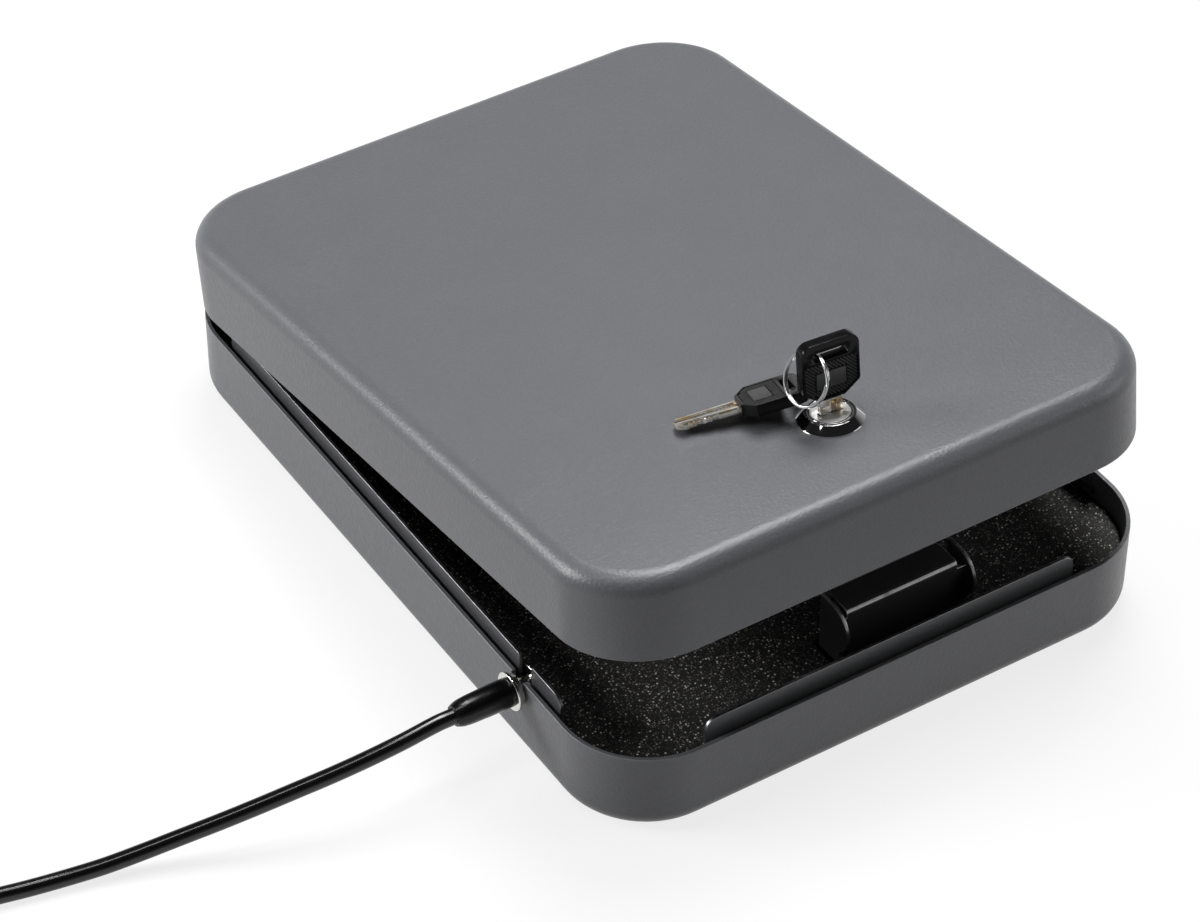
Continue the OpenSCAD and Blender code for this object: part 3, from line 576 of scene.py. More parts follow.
LEAD = [(-132, -86, 26.5), (-138, -86, 26.5), (-150, -85.9, 25.1), (-162, -84.8, 23.1), (-174, -82.8, 20.6),
        (-186, -80.1, 17.8), (-198, -77.1, 14.7), (-210, -73.8, 11.5), (-222, -70.4, 8.5),
        (-234, -67.3, 5.8), (-246, -64.6, 3.9), (-258, -61.9, 3), (-270, -59.4, 2.8), (-282, -56.6, 2.8),
        (-294, -54.6, 3.1), (-306, -54, 3.6), (-312.5, -54, 3.6)]
COIL_AT, COIL_IN_R, COIL_PITCH = (-318.0, -17.0), 24.6, 6.2
COIL_DIP = 1.0                                       # how much further in it runs while it climbs
TURNS_LOW, TURNS_CLIMB, TURNS_HIGH, TURN_POINTS = 2, 0.5, 1.75, 24
LAYER_LOW, LAYER_STEP = 3.6, 6.0                     # height of the lower layer, and up to the next
TAIL = [(6, 0), (14, -0.8), (22, -2), (30, -3.4), (38, -4.8), (46, -5.8), (53, -6.3), (60, -6.3)]
FERRULE_AT = (-350.55, 48.5, 3.3)
FERRULE_LEN, FERRULE_R, STRAND_OUT = 18.0, 3.3, 2.9
BANDS, BAND_HALF, PRESSED = (4.0, 9.0, 14.0), 1.3, 0.45
EYE_HALF = [(17.0, STRAND_OUT), (18, STRAND_OUT), (24, STRAND_OUT), (30, 4), (37, 7.2), (44, 10.2),
            (51, 11.55), (58, 11.2), (64, 8.2), (67.5, 3.3)]
STRAP_T, STRAP_ROWS, STRAP_AT = 0.8, (-5, -4.85, -4, -2, 0, 2, 4, 4.85, 5), (10, 190)

# Turned profiles as (radius, distance) points: the boot runs outwards from COLLAR_X, the collar inwards.
COLLAR_X, COLLAR_R, BOOT_R = -111.3, 6.7, 4.95
BOOT = [(0.0, 0.0), (4.6, 0.0), (4.86, 0.12), (BOOT_R, 0.4), (BOOT_R, 5.0), (4.88, 9.0), (4.76, 13.0),
        (4.68, 15.2), (4.58, 16.6), (4.42, 17.8), (4.2, 18.8), (3.92, 19.6), (3.7, 20.1), (3.6, 20.34),
        (3.5, 20.42), (3.38, 20.4), (3.3, 20.3), (2.9, 20.3), (2.8, 20.42), (2.72, 20.6), (2.6, 20.7),
        (0.0, 20.7)]
COLLAR = [(0, -12), (2.6, -12), (2.6, 0), (COLLAR_R, 0), (COLLAR_R, 1.1), (5.5, 1.4), (5.5, 3.0),
          (3.0, 3.0), (3.0, 7.8), (COLLAR_R, 7.8), (COLLAR_R, 9.2), (0, 9.2)]
COLLAR_ROUND = [0, 0.2, 0.1, 0.35, 0.35, 0.1, 0.3, 0.1, 0.1, 0.35, 0.35, 0]
AT_COLLAR = shift(COLLAR_X, CABLE_EXIT[1], CABLE_EXIT[2])


def coil_point(s):
    """Point of the coil after s turns: inwards on the lower layer, up, and outwards on the upper one."""
    climbed = min(1.0, max(0.0, (s - TURNS_LOW) / TURNS_CLIMB))
    r = COIL_IN_R - COIL_DIP * math.sin(math.pi * climbed) + COIL_PITCH * (
        max(0.0, TURNS_LOW - s) + max(0.0, s - TURNS_LOW - TURNS_CLIMB))
    a = math.radians(-90 - 360 * s)
    z = LAYER_LOW + LAYER_STEP * climbed * climbed * (3 - 2 * climbed)
    return (COIL_AT[0] + r * math.cos(a), COIL_AT[1] + r * math.sin(a), z)


def cable_points():
    turns = TURNS_LOW + TURNS_CLIMB + TURNS_HIGH
    loops = [coil_point(i / TURN_POINTS) for i in range(int(TURN_POINTS * turns) + 1)]
    end = loops[-1]
    end = (end[0], end[1] + CABLE_D, end[2])
    run = [(end[0], end[1] + y, end[2] + z) for y, z in TAIL]
    return LEAD + loops + [end] + run


def cable_curve(name, points, material):
    curve = bpy.data.curves.new(name, "CURVE")
    curve.dimensions = "3D"
    curve.bevel_depth = CABLE_D / 2 * MM
    curve.bevel_resolution = 9
    curve.resolution_u = 6
    curve.use_fill_caps = True
    spline = curve.splines.new("BEZIER")
    spline.bezier_points.add(len(points) - 1)
    for i, (knot, p) in enumerate(zip(spline.bezier_points, points)):
        here = Vector(p)
        before = Vector(points[max(0, i - 1)])
        after = Vector(points[min(len(points) - 1, i + 1)])
        ahead = (after - before).normalized()
        knot.co = here * MM
        knot.handle_left_type = knot.handle_right_type = "FREE"
        knot.handle_left = (here - ahead * (here - before).length / 3) * MM
        knot.handle_right = (here + ahead * (after - here).length / 3) * MM
    curve.materials.append(material)
    return add_to_scene(name, curve)


def boot_piece():
    """Moulded sleeve: straight over the crimp, a rounded shoulder and a cut end round the cable."""
    fine = []
    for (r0, z0), (r1, z1) in zip(BOOT, BOOT[1:]):
        fine += [(r0 + (r1 - r0) * k / 3, z0 + (z1 - z0) * k / 3) for k in range(3)]
    fine.append(BOOT[-1])
    bm = bmesh.new()

    def shape(a, r, z):
        wave = noise.noise(Vector((math.cos(a) * 1.4, math.sin(a) * 1.4, z * 0.22))) * 0.05
        r = min(BOOT_R, r - abs(wave) * min(1.0, r / 4))
        return r * math.cos(a), r * math.sin(a), z

    lathed(bm, fine, 64, shape)
    piece = from_bmesh("boot_sleeve", bm, AT_COLLAR @ turn(-90, "Y"), boot_plastic, 60)
    return piece


def collar_piece():
    """Turned spool with rounded rims, its neck trapped in the wall's slot."""
    bm = bmesh.new()
    lathed(bm, filleted(COLLAR, COLLAR_ROUND, 4, closed=False), 72)
    piece = from_bmesh("collar_spool", bm, AT_COLLAR @ turn(90, "Y"), collar_metal)
    return piece


def at_end(x, y, z):
    """The ferrule's own frame: x along the cable's tail, y across."""
    return Vector((FERRULE_AT[0] - y, FERRULE_AT[1] + x, FERRULE_AT[2] + z))


def ferrule_piece():
    """Crimped oval sleeve over both strands, with three pressed bands."""
    bm = bmesh.new()
    rings, corners = 61, 48
    rows = []
    for i in range(rings):
        x = FERRULE_LEN * i / (rings - 1)
        press = max(math.cos((x - c) * math.pi / (2 * BAND_HALF)) if abs(x - c) < BAND_HALF else 0.0
                    for c in BANDS)
        end = min(x, FERRULE_LEN - x)
        r = FERRULE_R - 0.35 * (1 - min(1.0, end / 0.6)) ** 2
        row = []
        for k in range(corners):
            a = 2 * math.pi * k / corners
            y = (STRAND_OUT if math.cos(a) > 0 else -STRAND_OUT) + r * math.cos(a)
            row.append(bm.verts.new(at_end(x, y, (r - PRESSED * press) * math.sin(a))))
        rows.append(row)
    joined_rings(bm, rows)
    for row in (rows[0], rows[-1]):
        bm.faces.new(row)
    piece = from_bmesh("ferrule_crimped", bm, Matrix.Identity(4), ferrule_metal, 50)
    return piece


def eye_piece():
    """The eye: the cable turned back into its ferrule."""
    both = EYE_HALF + [(x, -y) for x, y in reversed(EYE_HALF)]
    return cable_curve("eye_loop", [tuple(at_end(x, y, 0)) for x, y in both], sleeve)


def strap_piece(name, degrees):
    """Hook-and-loop strap lapped round the turns."""
    in_r = COIL_IN_R - COIL_DIP - CABLE_D / 2 - 0.9
    out_r = COIL_IN_R + COIL_PITCH * TURNS_LOW + CABLE_D / 2 + 0.5
    high, t, lap = LAYER_LOW + LAYER_STEP + CABLE_D / 2 + 0.05, STRAP_T, 0.05
    corners = [(in_r + lap, 0.1), (out_r, 0.1), (out_r, high), (in_r + lap, high)]
    outer = [(in_r - t + lap, 0.02), (out_r + t - lap, 0.02), (out_r + t - lap, high + t - lap),
             (in_r - t + lap, high + t - lap)]
    bm = bmesh.new()
    inner = filleted([(x, max(z, t)) for x, z in corners], 2.4, 6)
    outside = filleted(outer, 3.0, 6)
    n = len(inner)
    rows = []
    for y in STRAP_ROWS:
        thin = 0.12 if y in (STRAP_ROWS[0], STRAP_ROWS[-1]) else 0.0
        skin = [(a[0] + (b[0] - a[0]) * thin, a[1] + (b[1] - a[1]) * thin)
                for a, b in zip(outside, inner)]
        rows.append([bm.verts.new((x, y, z)) for x, z in skin + inner])
    for one, two in zip(rows, rows[1:]):
        for k in range(n):
            m = (k + 1) % n
            bm.faces.new([one[k], one[m], two[m], two[k]])
            bm.faces.new([one[n + k], two[n + k], two[n + m], one[n + m]])
    for row in (rows[0], rows[-1]):
        for k in range(n):
            m = (k + 1) % n
            bm.faces.new([row[k], row[m], row[n + m], row[n + k]])
    place = shift(COIL_AT[0], COIL_AT[1], 0) @ turn(degrees, "Z")
    piece = from_bmesh(name, bm, place, strap, 50)
    return piece


cable = cable_curve("tether_cable", cable_points(), sleeve)
boot, collar, ferrule, eye = boot_piece(), collar_piece(), ferrule_piece(), eye_piece()
straps = [strap_piece("coil_strap_1", STRAP_AT[0]), strap_piece("coil_strap_2", STRAP_AT[1])]
for piece in [cable, boot, collar, ferrule, eye] + straps:
    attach(piece, "base")
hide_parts("cable_lead", "cable_coil", "cable_tail")
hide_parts("cable_boot")
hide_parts("cable_collar")
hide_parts("cable_ferrule")
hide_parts("cable_eye")
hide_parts("coil_ties")

# ---------------------------------------------------------------- shells and fittings

SHEET, LIP_LOW, LIP_TOP, LIP_END_R, NOTCH_R = 1.2, 22.5, 37.0, 4.5, 1.0
LIP_BEND = (24.4, 27.4)                              # heights between which a lip steps inwards
FRONT_GAP, SIDE_GAP = 3.0, 1.5                       # how far it steps
WALL_X, WALL_Y, LIP_X, LIP_Y = 106.5, -142.5, 72.0, 107.0
SLOT_Y0, SLOT_Y1 = CABLE_EXIT[1] - 3.4, CABLE_EXIT[1] + 3.4
CATCH_Y, CATCH_X0, CATCH_X1, CATCH_TOP, CATCH_T = -126.2, -11.5, 39.7, 42.0, 1.5
FLANGE_X0, FLANGE_X1, CATCH_BACK, FOOT_BACK = -9.1, 34.4, -115.0, -100.2
BEND_OUT, BEND_Z, FLOOR_Z = 2.0, 40.0, 1.5           # bend's outer radius and foot, top of the floor sheet
CHEEK_Y, CHEEK_R = -121.0, 9.2                       # middle and radius of a cheek's rounded front
BEND_WEAR_AND_HIGHLIGHT = (0.22, 0.62)                             # share of the bend, from below, lighter along its crest: rubbed coating and a painted highlight


def lip_piece(name, node, length, gap, ends, place, material):
    """Joggled strip: a weld flange on the wall and a lip that stands inwards, with rounded ends."""
    outline = filleted(block(0, LIP_LOW, length, LIP_TOP), [0, 0, ends[1], ends[0]], 14)
    bm = plate([outline], 0, SHEET)
    mark_rims(bm)
    low, high = LIP_BEND
    cut_across(bm, [low + (high - low) * k / 10 for k in range(11)])
    for v in bm.verts:
        t = min(1.0, max(0.0, (v.co.y - low) / (high - low)))
        v.co.z += gap * t * t * (3 - 2 * t)
    piece = from_bmesh(name, bm, place, material, 40)
    rounded_edges(piece, 0.22, 3, lip_edge_wear_and_highlight)
    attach(piece, "base")
    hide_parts(node)


def catch_front():
    """Folded plate: upright front, rounded bend lighter along its crest (rubbed coating with a painted
    highlight), flange turned back over the cam.
    """
    arc = (BEND_OUT - CATCH_T / 2) * math.pi / 2
    shoulder = CATCH_TOP - 3.0
    end = BEND_Z + arc + CATCH_BACK - CATCH_Y - BEND_OUT
    x0, x1 = CATCH_X0 + SHEET, CATCH_X1 - SHEET
    outline = filleted([(x0, FLOOR_Z + SHEET), (x1, FLOOR_Z + SHEET), (x1, shoulder), (FLANGE_X1, shoulder),
                        (FLANGE_X1, end), (FLANGE_X0, end), (FLANGE_X0, shoulder), (x0, shoulder)],
                       [0, 0, 0.8, 0.4, 1.6, 1.6, 0.4, 0.5], 6)
    bm = plate([outline], 0, CATCH_T)
    mark_rims(bm)
    cuts = 12
    cut_across(bm, [BEND_Z + arc * k / cuts for k in range(cuts + 1)])
    # Faces along the outer crest of the bend take the edge material: rubbed coating, and a painted highlight
    # where the bend would catch the light.
    for face in bm.faces:
        middle = (face.calc_center_median().y - BEND_Z) / arc
        if BEND_WEAR_AND_HIGHLIGHT[0] < middle < BEND_WEAR_AND_HIGHLIGHT[1] and face.calc_center_median().z < CATCH_T / 2:
            face.material_index = 1
    for v in bm.verts:
        x, s, w = v.co
        a = min(1.0, max(0.0, (s - BEND_Z) / arc)) * math.pi / 2
        r = BEND_OUT - w
        y, z = CATCH_Y + BEND_OUT - r * math.cos(a), BEND_Z + r * math.sin(a)
        v.co = (x, y + max(0.0, s - BEND_Z - arc), z + min(0.0, s - BEND_Z))
    piece = from_bmesh("catch_front", bm, Matrix.Identity(4), paint_inside, 40)
    rounded_edges(piece, 0.25, 3, inside_edge_wear_and_highlight)
    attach(piece, "base")
    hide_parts("catch_plate")


def catch_sides():
    """Two cheeks with rounded fronts, and the foot between them that is welded to the floor."""
    centre = CATCH_TOP - CHEEK_R
    first, last = math.pi / 2, 2 * math.pi - math.acos((CATCH_Y - CHEEK_Y) / CHEEK_R)
    bulge = [(CHEEK_Y + CHEEK_R * math.cos(a), centre + CHEEK_R * math.sin(a))
             for a in (first + (last - first) * k / 40 for k in range(41))]
    parts = []
    cheek = [(CATCH_BACK, FLOOR_Z), (CATCH_BACK, CATCH_TOP)] + bulge + [(CATCH_Y, FLOOR_Z)]
    x0, x1 = CATCH_X0 + SHEET, CATCH_X1 - SHEET
    for x in (CATCH_X0, x1):
        bm = plate([cheek], 0, SHEET)
        mark_rims(bm)
        bm.transform(Matrix(((0, 0, 1, x), (1, 0, 0, 0), (0, 1, 0, 0), (0, 0, 0, 1))))
        parts.append(bm)
    parts.append(plate([block(x0, CATCH_Y, x1, FOOT_BACK)], FLOOR_Z, FLOOR_Z + SHEET))
    piece = from_bmesh("catch_sides", merged(parts), Matrix.Identity(4), paint_inside, 40)
    rounded_edges(piece, 0.25, 3, inside_edge_wear_and_highlight)
    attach(piece, "base")
    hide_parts("catch_cheeks")


# The shells' rounded rims take the lighter paint: rubbed coating and a painted highlight.
soften("base_shell", 0.3, paint, rim_paint_wear_and_highlight)
soften("lid_shell", 0.3, paint, rim_paint_wear_and_highlight)
lip_piece("lip_front", "front_lip", 2 * LIP_X, FRONT_GAP, (LIP_END_R, LIP_END_R),
          standing(LIP_X, WALL_Y, 0, (-1, 0)), front_lip_lit_paint)
for name, node, length, ends, place in (
        ("lip_left_rear", "left_lip_rear", LIP_Y - SLOT_Y1, (NOTCH_R, LIP_END_R),
         standing(-WALL_X, SLOT_Y1, 0, (0, 1))),
        ("lip_left_front", "left_lip_front", SLOT_Y0 + LIP_Y, (LIP_END_R, NOTCH_R),
         standing(-WALL_X, -LIP_Y, 0, (0, 1))),
        ("lip_right", "right_lip", 2 * LIP_Y, (LIP_END_R, LIP_END_R),
         standing(WALL_X, LIP_Y, 0, (0, -1)))):
    lip_piece(name, node, length, SIDE_GAP, ends, place, side_lips_shaded_paint)
catch_front()
catch_sides()
for name in ("hinge_leaf_base", "hinge_leaf_lid"):
    soften(name, 0.2, paint_inside, inside_edge_wear_and_highlight)
for name in ("hinge_pin", "lock_nut", "lock_washer", "lock_stop_washer", "lock_cam", "cam_washer", "cam_nut"):
    soften(name, 0.15, plated)
for name, metal in (("lock_plug", plated), ("lock_wafers", brass), ("wafer_springs", plated)):
    soften(name, 0, metal)

# ---------------------------------------------------------------- lock

FLANGE_R, FLANGE_TOP, FLANGE_H = 11.1, 8.3, 2.8
BODY_R, BODY_FLATS, BODY_LEN = 9.3, 16.4, 21.5
PLUG_BORE, FACE_BORE, FACE_FLOOR, FACE_R, FACE_LINE = 6.4, 7.3, 0.6, 7.2, 6.4
FACE_LOW, FACE_TOP, RIM_TOP = 2.2, 2.75, 2.79
THREAD_PITCH, THREAD_DEPTH, THREAD_POINTS = 0.9, 0.33, 45
BLADE_W, BLADE_T, GROOVE, KEY_GAP = 8.0, 2.0, (-0.2, 1.6), 0.15


def housing_piece():
    """Lock housing: polished bevelled flange on a threaded body with two flats."""
    collar = filleted([(BODY_R, -0.6), (BODY_R, 0), (FLANGE_R, 0), (FLANGE_R, 0.4), (FLANGE_TOP, FLANGE_H),
                       (FACE_BORE, FLANGE_H), (FACE_BORE, FACE_FLOOR), (PLUG_BORE, FACE_FLOOR),
                       (PLUG_BORE, -BODY_LEN), (BODY_R - 0.4, -BODY_LEN)],
                      [0, 0, 0.1, 0.22, 0.3, 0.14, 0.05, 0.05, 0.2, 0], 5, closed=False)
    thread = [(BODY_R - THREAD_DEPTH * (k % 2), -BODY_LEN + 0.5 + THREAD_PITCH / 2 * k)
              for k in range(THREAD_POINTS)]
    bm = bmesh.new()

    def shape(a, r, z):
        x, y = r * math.cos(a), r * math.sin(a)
        if r > PLUG_BORE + 0.01 and r <= BODY_R + 1e-6 and z <= 0:
            y = max(-BODY_FLATS / 2, min(BODY_FLATS / 2, y))
        return x, y, z

    lathed(bm, collar + thread + [collar[0]], 160, shape)
    piece = from_bmesh("lock_housing", bm, ON_LOCK, chrome, 32)
    return piece


def plug_face_piece():
    """Face of the plug: a polished rim, a turned line inside it and a satin face with a warded keyway."""
    w, t = BLADE_W / 2 + KEY_GAP, BLADE_T / 2 + KEY_GAP
    g0, g1, ward = GROOVE[0] + 0.12, GROOVE[1] - 0.12, 0.72
    keyway = [(-w, -t), (g0, -t), (g0, -ward), (g1, -ward), (g1, -t), (w, -t),
              (w, t), (g1, t), (g1, ward), (g0, ward), (g0, t), (-w, t)]
    rim = [circle(FACE_R, 128), circle(FACE_LINE + 0.12, 128)]
    face = [circle(FACE_LINE, 128), filleted(keyway, 0.12, 2)]
    parts = [flat_plate("rim", rim, FACE_LOW, RIM_TOP, 0.12, IN_PLUG, chrome, 3),
             flat_plate("face", face, FACE_LOW, FACE_TOP, 0.08, IN_PLUG, face_metal, 2)]
    piece = join("plug_face", parts)
    return piece


housing, plug_face = housing_piece(), plug_face_piece()
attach(housing, "lid")
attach(plug_face, "plug")
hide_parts("lock_body")

# ---------------------------------------------------------------- keys

HEAD_W, HEAD_L, HEAD_T, NECK, TAPER, HEAD_R = 20.5, 21.5, 4.0, 9.0, 4.2, 3.8
SLOT_W, SLOT_H, SLOT_Y = 13.2, 3.2, 16.7
WIN_W, WIN_H, WIN_Y = 10.6, 6.1, 4.4
RIM, FIELD_DEPTH, FIELD_LOW, FIELD_HIGH = 0.85, 0.5, 1.1, 14.0
RIB_PITCH, WIN_MARGIN = 1.3, 0.35
RIB = [(0.31, -0.1), (0.27, 0.22), (0.17, 0.33), (-0.17, 0.33), (-0.27, 0.22), (-0.31, -0.1)]
CUTS_LEFT, CUTS_RIGHT, CUT_FROM, CUT_PITCH = (0.9, 0.5, 1.1, 0.6), (0.5, 1.0, 0.4, 0.8), 6, 2.6
RING_R, WIRE_W, WIRE_T, TURNS_APART = 8.7, 0.9, 0.66, 0.75


def head_corners():
    w = HEAD_W / 2
    return [(-NECK / 2, 0), (NECK / 2, 0), (w, TAPER), (w, HEAD_L), (-w, HEAD_L), (-w, TAPER)]


def in_head(x, y, inset):
    """True where a point of the head's face lies at least inset inside its outline."""
    w = HEAD_W / 2 - inset
    if abs(x) > w or y < inset or y > HEAD_L - inset:
        return False
    slope = (HEAD_W / 2 - NECK / 2) / TAPER
    edge = (NECK / 2 + y * slope) - inset * math.hypot(1, slope)
    return abs(x) <= edge


def field_outline():
    """The sunk grip area below the slot, a rim's width inside the head's outline."""
    w, slope = HEAD_W / 2 - RIM, (HEAD_W / 2 - NECK / 2) / TAPER
    low = NECK / 2 + FIELD_LOW * slope - RIM * math.hypot(1, slope)
    bend = FIELD_LOW + (w - low) / slope
    return [(-low, FIELD_LOW), (low, FIELD_LOW), (w, bend), (w, FIELD_HIGH), (-w, FIELD_HIGH),
            (-w, bend)]


def rib_spans(offset, lean):
    """Stretches of one diagonal that lie on the grip area clear of the panel, as pairs of points."""
    spans, start, last = [], None, None
    for k in range(-400, 401):
        t = k * 0.045
        x, y = offset + lean * t, 8.0 + t
        free = (in_head(x, y, RIM + 0.15) and FIELD_LOW + 0.2 < y < FIELD_HIGH - 0.2
                and not (abs(x) < WIN_W / 2 + WIN_MARGIN
                         and WIN_Y - WIN_MARGIN < y < WIN_Y + WIN_H + WIN_MARGIN))
        if free:
            start = start or (x, y)
            last = (x, y)
        elif start:
            if math.dist(start, last) > 0.7:
                spans.append((start, last))
            start = None
    return spans


def head_piece(name, place):
    """Moulded key head: a rim round a sunk grip area with diagonal ribs and a plain raised panel."""
    upright = place @ turn(90, "X")
    body = filleted(head_corners(), [0.6, 0.6, 1.2, HEAD_R, HEAD_R, 1.2], 8)
    slot = filleted(block(-SLOT_W / 2, SLOT_Y - SLOT_H / 2, SLOT_W / 2, SLOT_Y + SLOT_H / 2), 1.58, 6)
    field = filleted(field_outline(), [0.3, 0.3, 0.8, 0.8, 0.8, 0.8], 4)
    window = filleted(block(-WIN_W / 2, WIN_Y, WIN_W / 2, WIN_Y + WIN_H), 0.5, 4)
    half = HEAD_T / 2
    parts = [flat_plate("rim", [body, slot, field], -half, half, 0.32, upright, key_plastic, 3),
             flat_plate("floor", [field], -half + FIELD_DEPTH, half - FIELD_DEPTH, 0, upright, key_hollow_shade),
             flat_plate("panel", [window], -half + 0.04, half - 0.04, 0.16, upright, key_panel_sheen, 2)]
    bm = bmesh.new()
    for side in (-1, 1):
        z = side * (half - FIELD_DEPTH)
        for i in range(-20, 21):
            for a, b in rib_spans(i * RIB_PITCH, -1.0 * side):
                swept(bm, [(a[0], a[1], z), (b[0], b[1], z)], RIB, up=(0, 0, side))
    parts.append(from_bmesh("ribs", bm, upright, key_rib, 30))
    piece = join(name, parts)
    return piece


def blade_piece(name, place):
    """Stamped blade: milled groove on each face, cut notches on both edges."""
    upright = place @ turn(90, "X")
    w, tip, low = BLADE_W / 2, 2.2, -BLADE_LEN

    def edge(side, depths):
        points = []
        for i, depth in enumerate(depths):
            y = -CUT_FROM - (i + 1) * CUT_PITCH
            points += [(side * w, y + 1.1), (side * (w - depth), y + 0.4), (side * (w - depth), y - 0.4),
                       (side * w, y - 1.1)]
        return points

    left = ([(-w, 0)] + edge(-1, CUTS_LEFT)
            + [(-w, low + tip), (-w / 2.5, low), (GROOVE[0], low), (GROOVE[0], 0)])
    right = ([(GROOVE[1], 0), (GROOVE[1], low), (w, low + tip)]
             + list(reversed(edge(1, CUTS_RIGHT))) + [(w, 0)])
    g0, g1, half = GROOVE[0] - 0.05, GROOVE[1] + 0.05, BLADE_T / 2
    core = [(g0, 0), (g0, low + 0.02), (g1, low + 0.02), (g1, 0)]
    parts = [flat_plate("left", [filleted(left, 0.18, 2)], -half, half, 0.14, upright, blade_metal, 2),
             flat_plate("right", [filleted(right, 0.18, 2)], -half, half, 0.14, upright, blade_metal, 2),
             flat_plate("core", [core], -half + 0.42, half - 0.42, 0, upright, blade_metal),
             flat_plate("stop", [block(-w, -1.2, w, 0)], -half + 0.02, half - 0.02, 0.1, upright,
                        blade_metal, 2)]
    piece = join(name, parts)
    return piece


def ring_piece():
    """Split ring: one flat wire wound twice, its ends stepping over the other turn."""
    bm = bmesh.new()
    steps, start, turns = 240, math.radians(20), 2 * 0.985
    path = []
    for i in range(steps + 1):
        s = i / steps
        a = start + 2 * math.pi * s * turns
        step = min(1.0, max(0.0, (s - 0.46) / 0.08))
        z = -TURNS_APART / 2 + TURNS_APART * step * step * (3 - 2 * step)
        path.append((RING_R * math.cos(a), RING_R * math.sin(a), z))
    section = filleted(block(-WIRE_W / 2, -WIRE_T / 2, WIRE_W / 2, WIRE_T / 2), 0.22, 3)
    swept(bm, path, section)
    piece = from_bmesh("split_ring", bm, RING, ring_metal, 50)
    return piece


for label, place, body in (("key_1", KEY_1, "key_1"), ("key_2", KEY_2, "key_2")):
    head = head_piece(label + "_grip", place)
    blade = blade_piece(label + "_bit", place)
    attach(head, body)
    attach(blade, body)
    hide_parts(label + "_head")
    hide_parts(label + "_blade")
ring = ring_piece()
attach(ring, "ring")
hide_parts("key_ring")

# ---------------------------------------------------------------- foam pads

FOAM_ROUGH, FOAM_WAVE = 0.5, 0.15                    # how deep the cut face's pits and waves go


def foam_pad(name, node, body, cell, seed):
    """Cut foam: the pad's solid remeshed finely, its cut faces left rough and its edges soft."""
    pad = add_to_scene(name, nodes[node].data.copy())
    remesh = pad.modifiers.new("fine", "REMESH")
    remesh.mode = "VOXEL"
    remesh.voxel_size = cell * MM
    bpy.context.view_layer.update()
    mesh = bpy.data.meshes.new_from_object(pad.evaluated_get(bpy.context.evaluated_depsgraph_get()))
    pad.modifiers.clear()
    pad.data = mesh
    lo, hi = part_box(node)
    normals = [v.normal.copy() for v in mesh.vertices]
    for v, n in zip(mesh.vertices, normals):
        p = v.co
        rough = noise.fractal(p * 900 + Vector((seed, 0, 0)), 1.0, 2.0, 2)
        wave = noise.noise(p * 45 + Vector((0, seed, 0)))
        v.co = p - n * (FOAM_ROUGH * MM * (0.5 + 0.5 * rough) + FOAM_WAVE * MM * (1 + wave))
        for k in range(3):
            v.co[k] = min(max(v.co[k], lo[k]), hi[k])
    for p in mesh.polygons:
        p.use_smooth = True
    mesh.materials.clear()
    mesh.materials.append(foam)
    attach(pad, body)
    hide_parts(node)


foam_pad("base_pad", "base_foam", "base", 1.2, 3.0)
foam_pad("lid_pad", "lid_foam", "lid", 1.6, 11.0)

# ---------------------------------------------------------------- studio

SKY_LOW, SKY_HIGH = (0.10, 0.36), (0.50, 0.012)         # upward direction and brightness
FLOOR_COLOUR, FLOOR_SEEN = 0.42, 0.76                   # as the light finds the floor, and as it is seen
FLOOR_WHITE = 0.80                                      # share of plain white in what is seen
# Lamps: place and size in metres, and watts.
LAMP_AIM = (0, 0, 0.05)
LAMPS = {"key": ((0.36, 0.40, 1.3), (0.62, 0.7), 24),
         "left": ((-1.25, 0.8, 0.7), (0.7, 0.5), 23),
         "right": ((1.15, -0.75, 0.6), (0.8, 0.6), 4.2),
         "over": ((-0.30, 0.05, 1.4), (0.14, 0.9), 4.4)}


def soft_light(name, place, aim, size, power):
    data = bpy.data.lights.new(name, "AREA")
    data.shape = "RECTANGLE"
    data.size, data.size_y = size
    data.energy = power
    lamp = add_to_scene(name, data)
    lamp.location = place
    lamp.rotation_euler = (Vector(aim) - Vector(place)).to_track_quat("-Z", "Y").to_euler()


def seen_directly(tree):
    """1 for camera, glossy and transmission rays, and 0 for the rest."""
    path = tree.nodes.new("ShaderNodeLightPath")
    value = path.outputs["Is Camera Ray"]
    for ray in ("Is Glossy Ray", "Is Transmission Ray"):
        most = tree.nodes.new("ShaderNodeMath")
        most.operation = "MAXIMUM"
        tree.links.new(value, most.inputs[0])
        tree.links.new(path.outputs[ray], most.inputs[1])
        value = most.outputs[0]
    return value


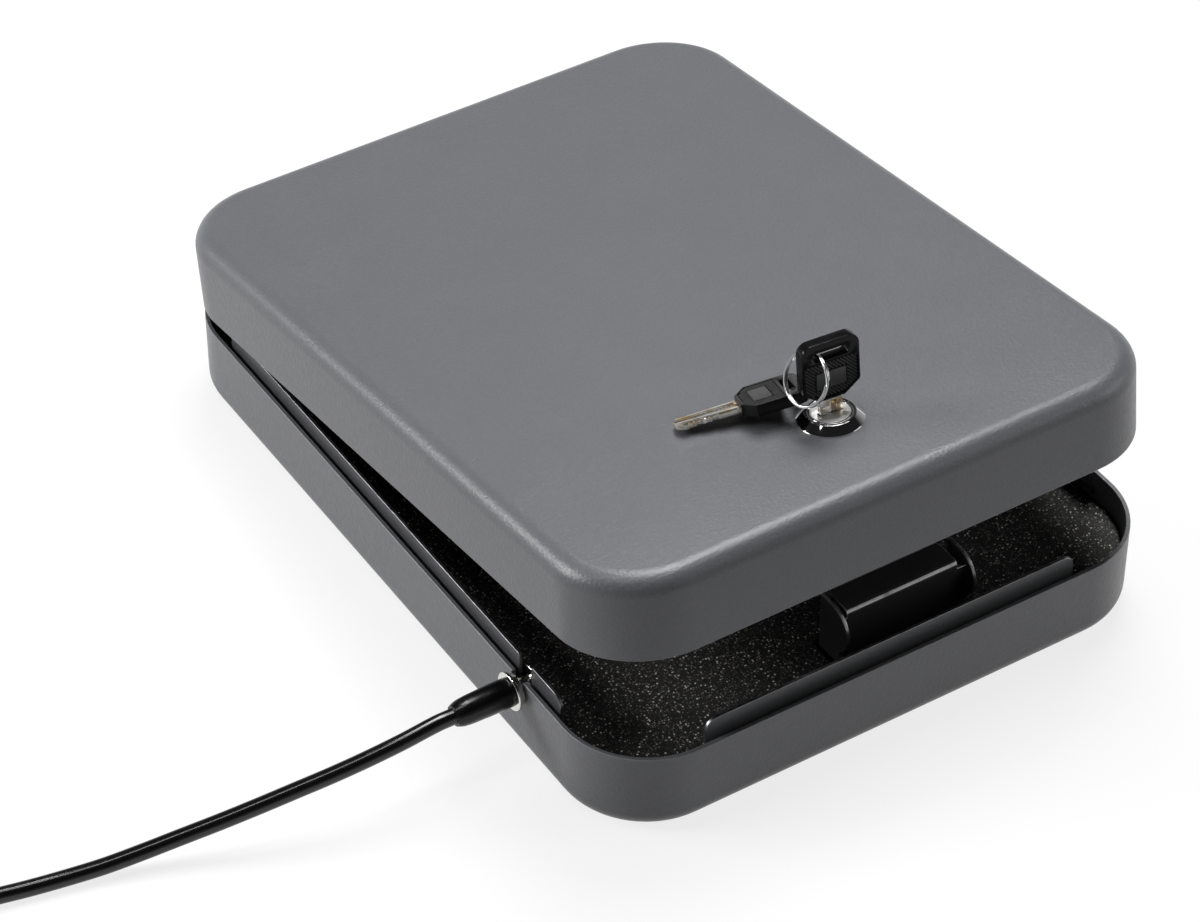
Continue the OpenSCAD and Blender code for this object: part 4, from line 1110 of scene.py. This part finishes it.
def studio():
    bm = bmesh.new()
    bmesh.ops.create_grid(bm, x_segments=8, y_segments=8, size=6.0)
    mesh = bpy.data.meshes.new("floor")
    bm.to_mesh(mesh)
    bm.free()
    floor = add_to_scene("floor", mesh)
    material = bpy.data.materials.new("floor")
    material.use_nodes = True
    tree = material.node_tree
    main = tree.nodes["Principled BSDF"]
    main.inputs["Roughness"].default_value = 0.9
    main.inputs["Specular IOR Level"].default_value = 0.1
    white, blend = tree.nodes.new("ShaderNodeEmission"), tree.nodes.new("ShaderNodeMixShader")
    seen = seen_directly(tree)
    share, tone = tree.nodes.new("ShaderNodeMath"), tree.nodes.new("ShaderNodeValToRGB")
    share.operation = "MULTIPLY"
    share.inputs[1].default_value = FLOOR_WHITE
    for element, value in zip(tone.color_ramp.elements, (FLOOR_COLOUR, FLOOR_SEEN)):
        element.color = grey(value)
    tree.links.new(seen, share.inputs[0])
    tree.links.new(seen, tone.inputs["Fac"])
    tree.links.new(tone.outputs["Color"], main.inputs["Base Color"])
    tree.links.new(share.outputs[0], blend.inputs["Fac"])
    tree.links.new(main.outputs[0], blend.inputs[1])
    tree.links.new(white.outputs[0], blend.inputs[2])
    tree.links.new(blend.outputs[0], tree.nodes["Material Output"].inputs["Surface"])
    mesh.materials.append(material)

    world = bpy.data.worlds.new("studio")
    bpy.context.scene.world = world
    world.use_nodes = True
    tree = world.node_tree
    sky = tree.nodes["Background"]
    place = tree.nodes.new("ShaderNodeTexCoord")
    parts = tree.nodes.new("ShaderNodeSeparateXYZ")
    ramp = tree.nodes.new("ShaderNodeValToRGB")
    tree.links.new(place.outputs["Generated"], parts.inputs[0])
    tree.links.new(parts.outputs["Z"], ramp.inputs["Fac"])
    tree.links.new(ramp.outputs["Color"], sky.inputs["Color"])
    for element, (at, value) in zip(ramp.color_ramp.elements, (SKY_LOW, SKY_HIGH)):
        element.position, element.color = at, grey(value)
    sky.inputs["Strength"].default_value = 1.0

    for name, (place, size, power) in LAMPS.items():
        soft_light(name, place, LAMP_AIM, size, power)


studio()
bpy.context.scene.view_settings.view_transform = "Standard"
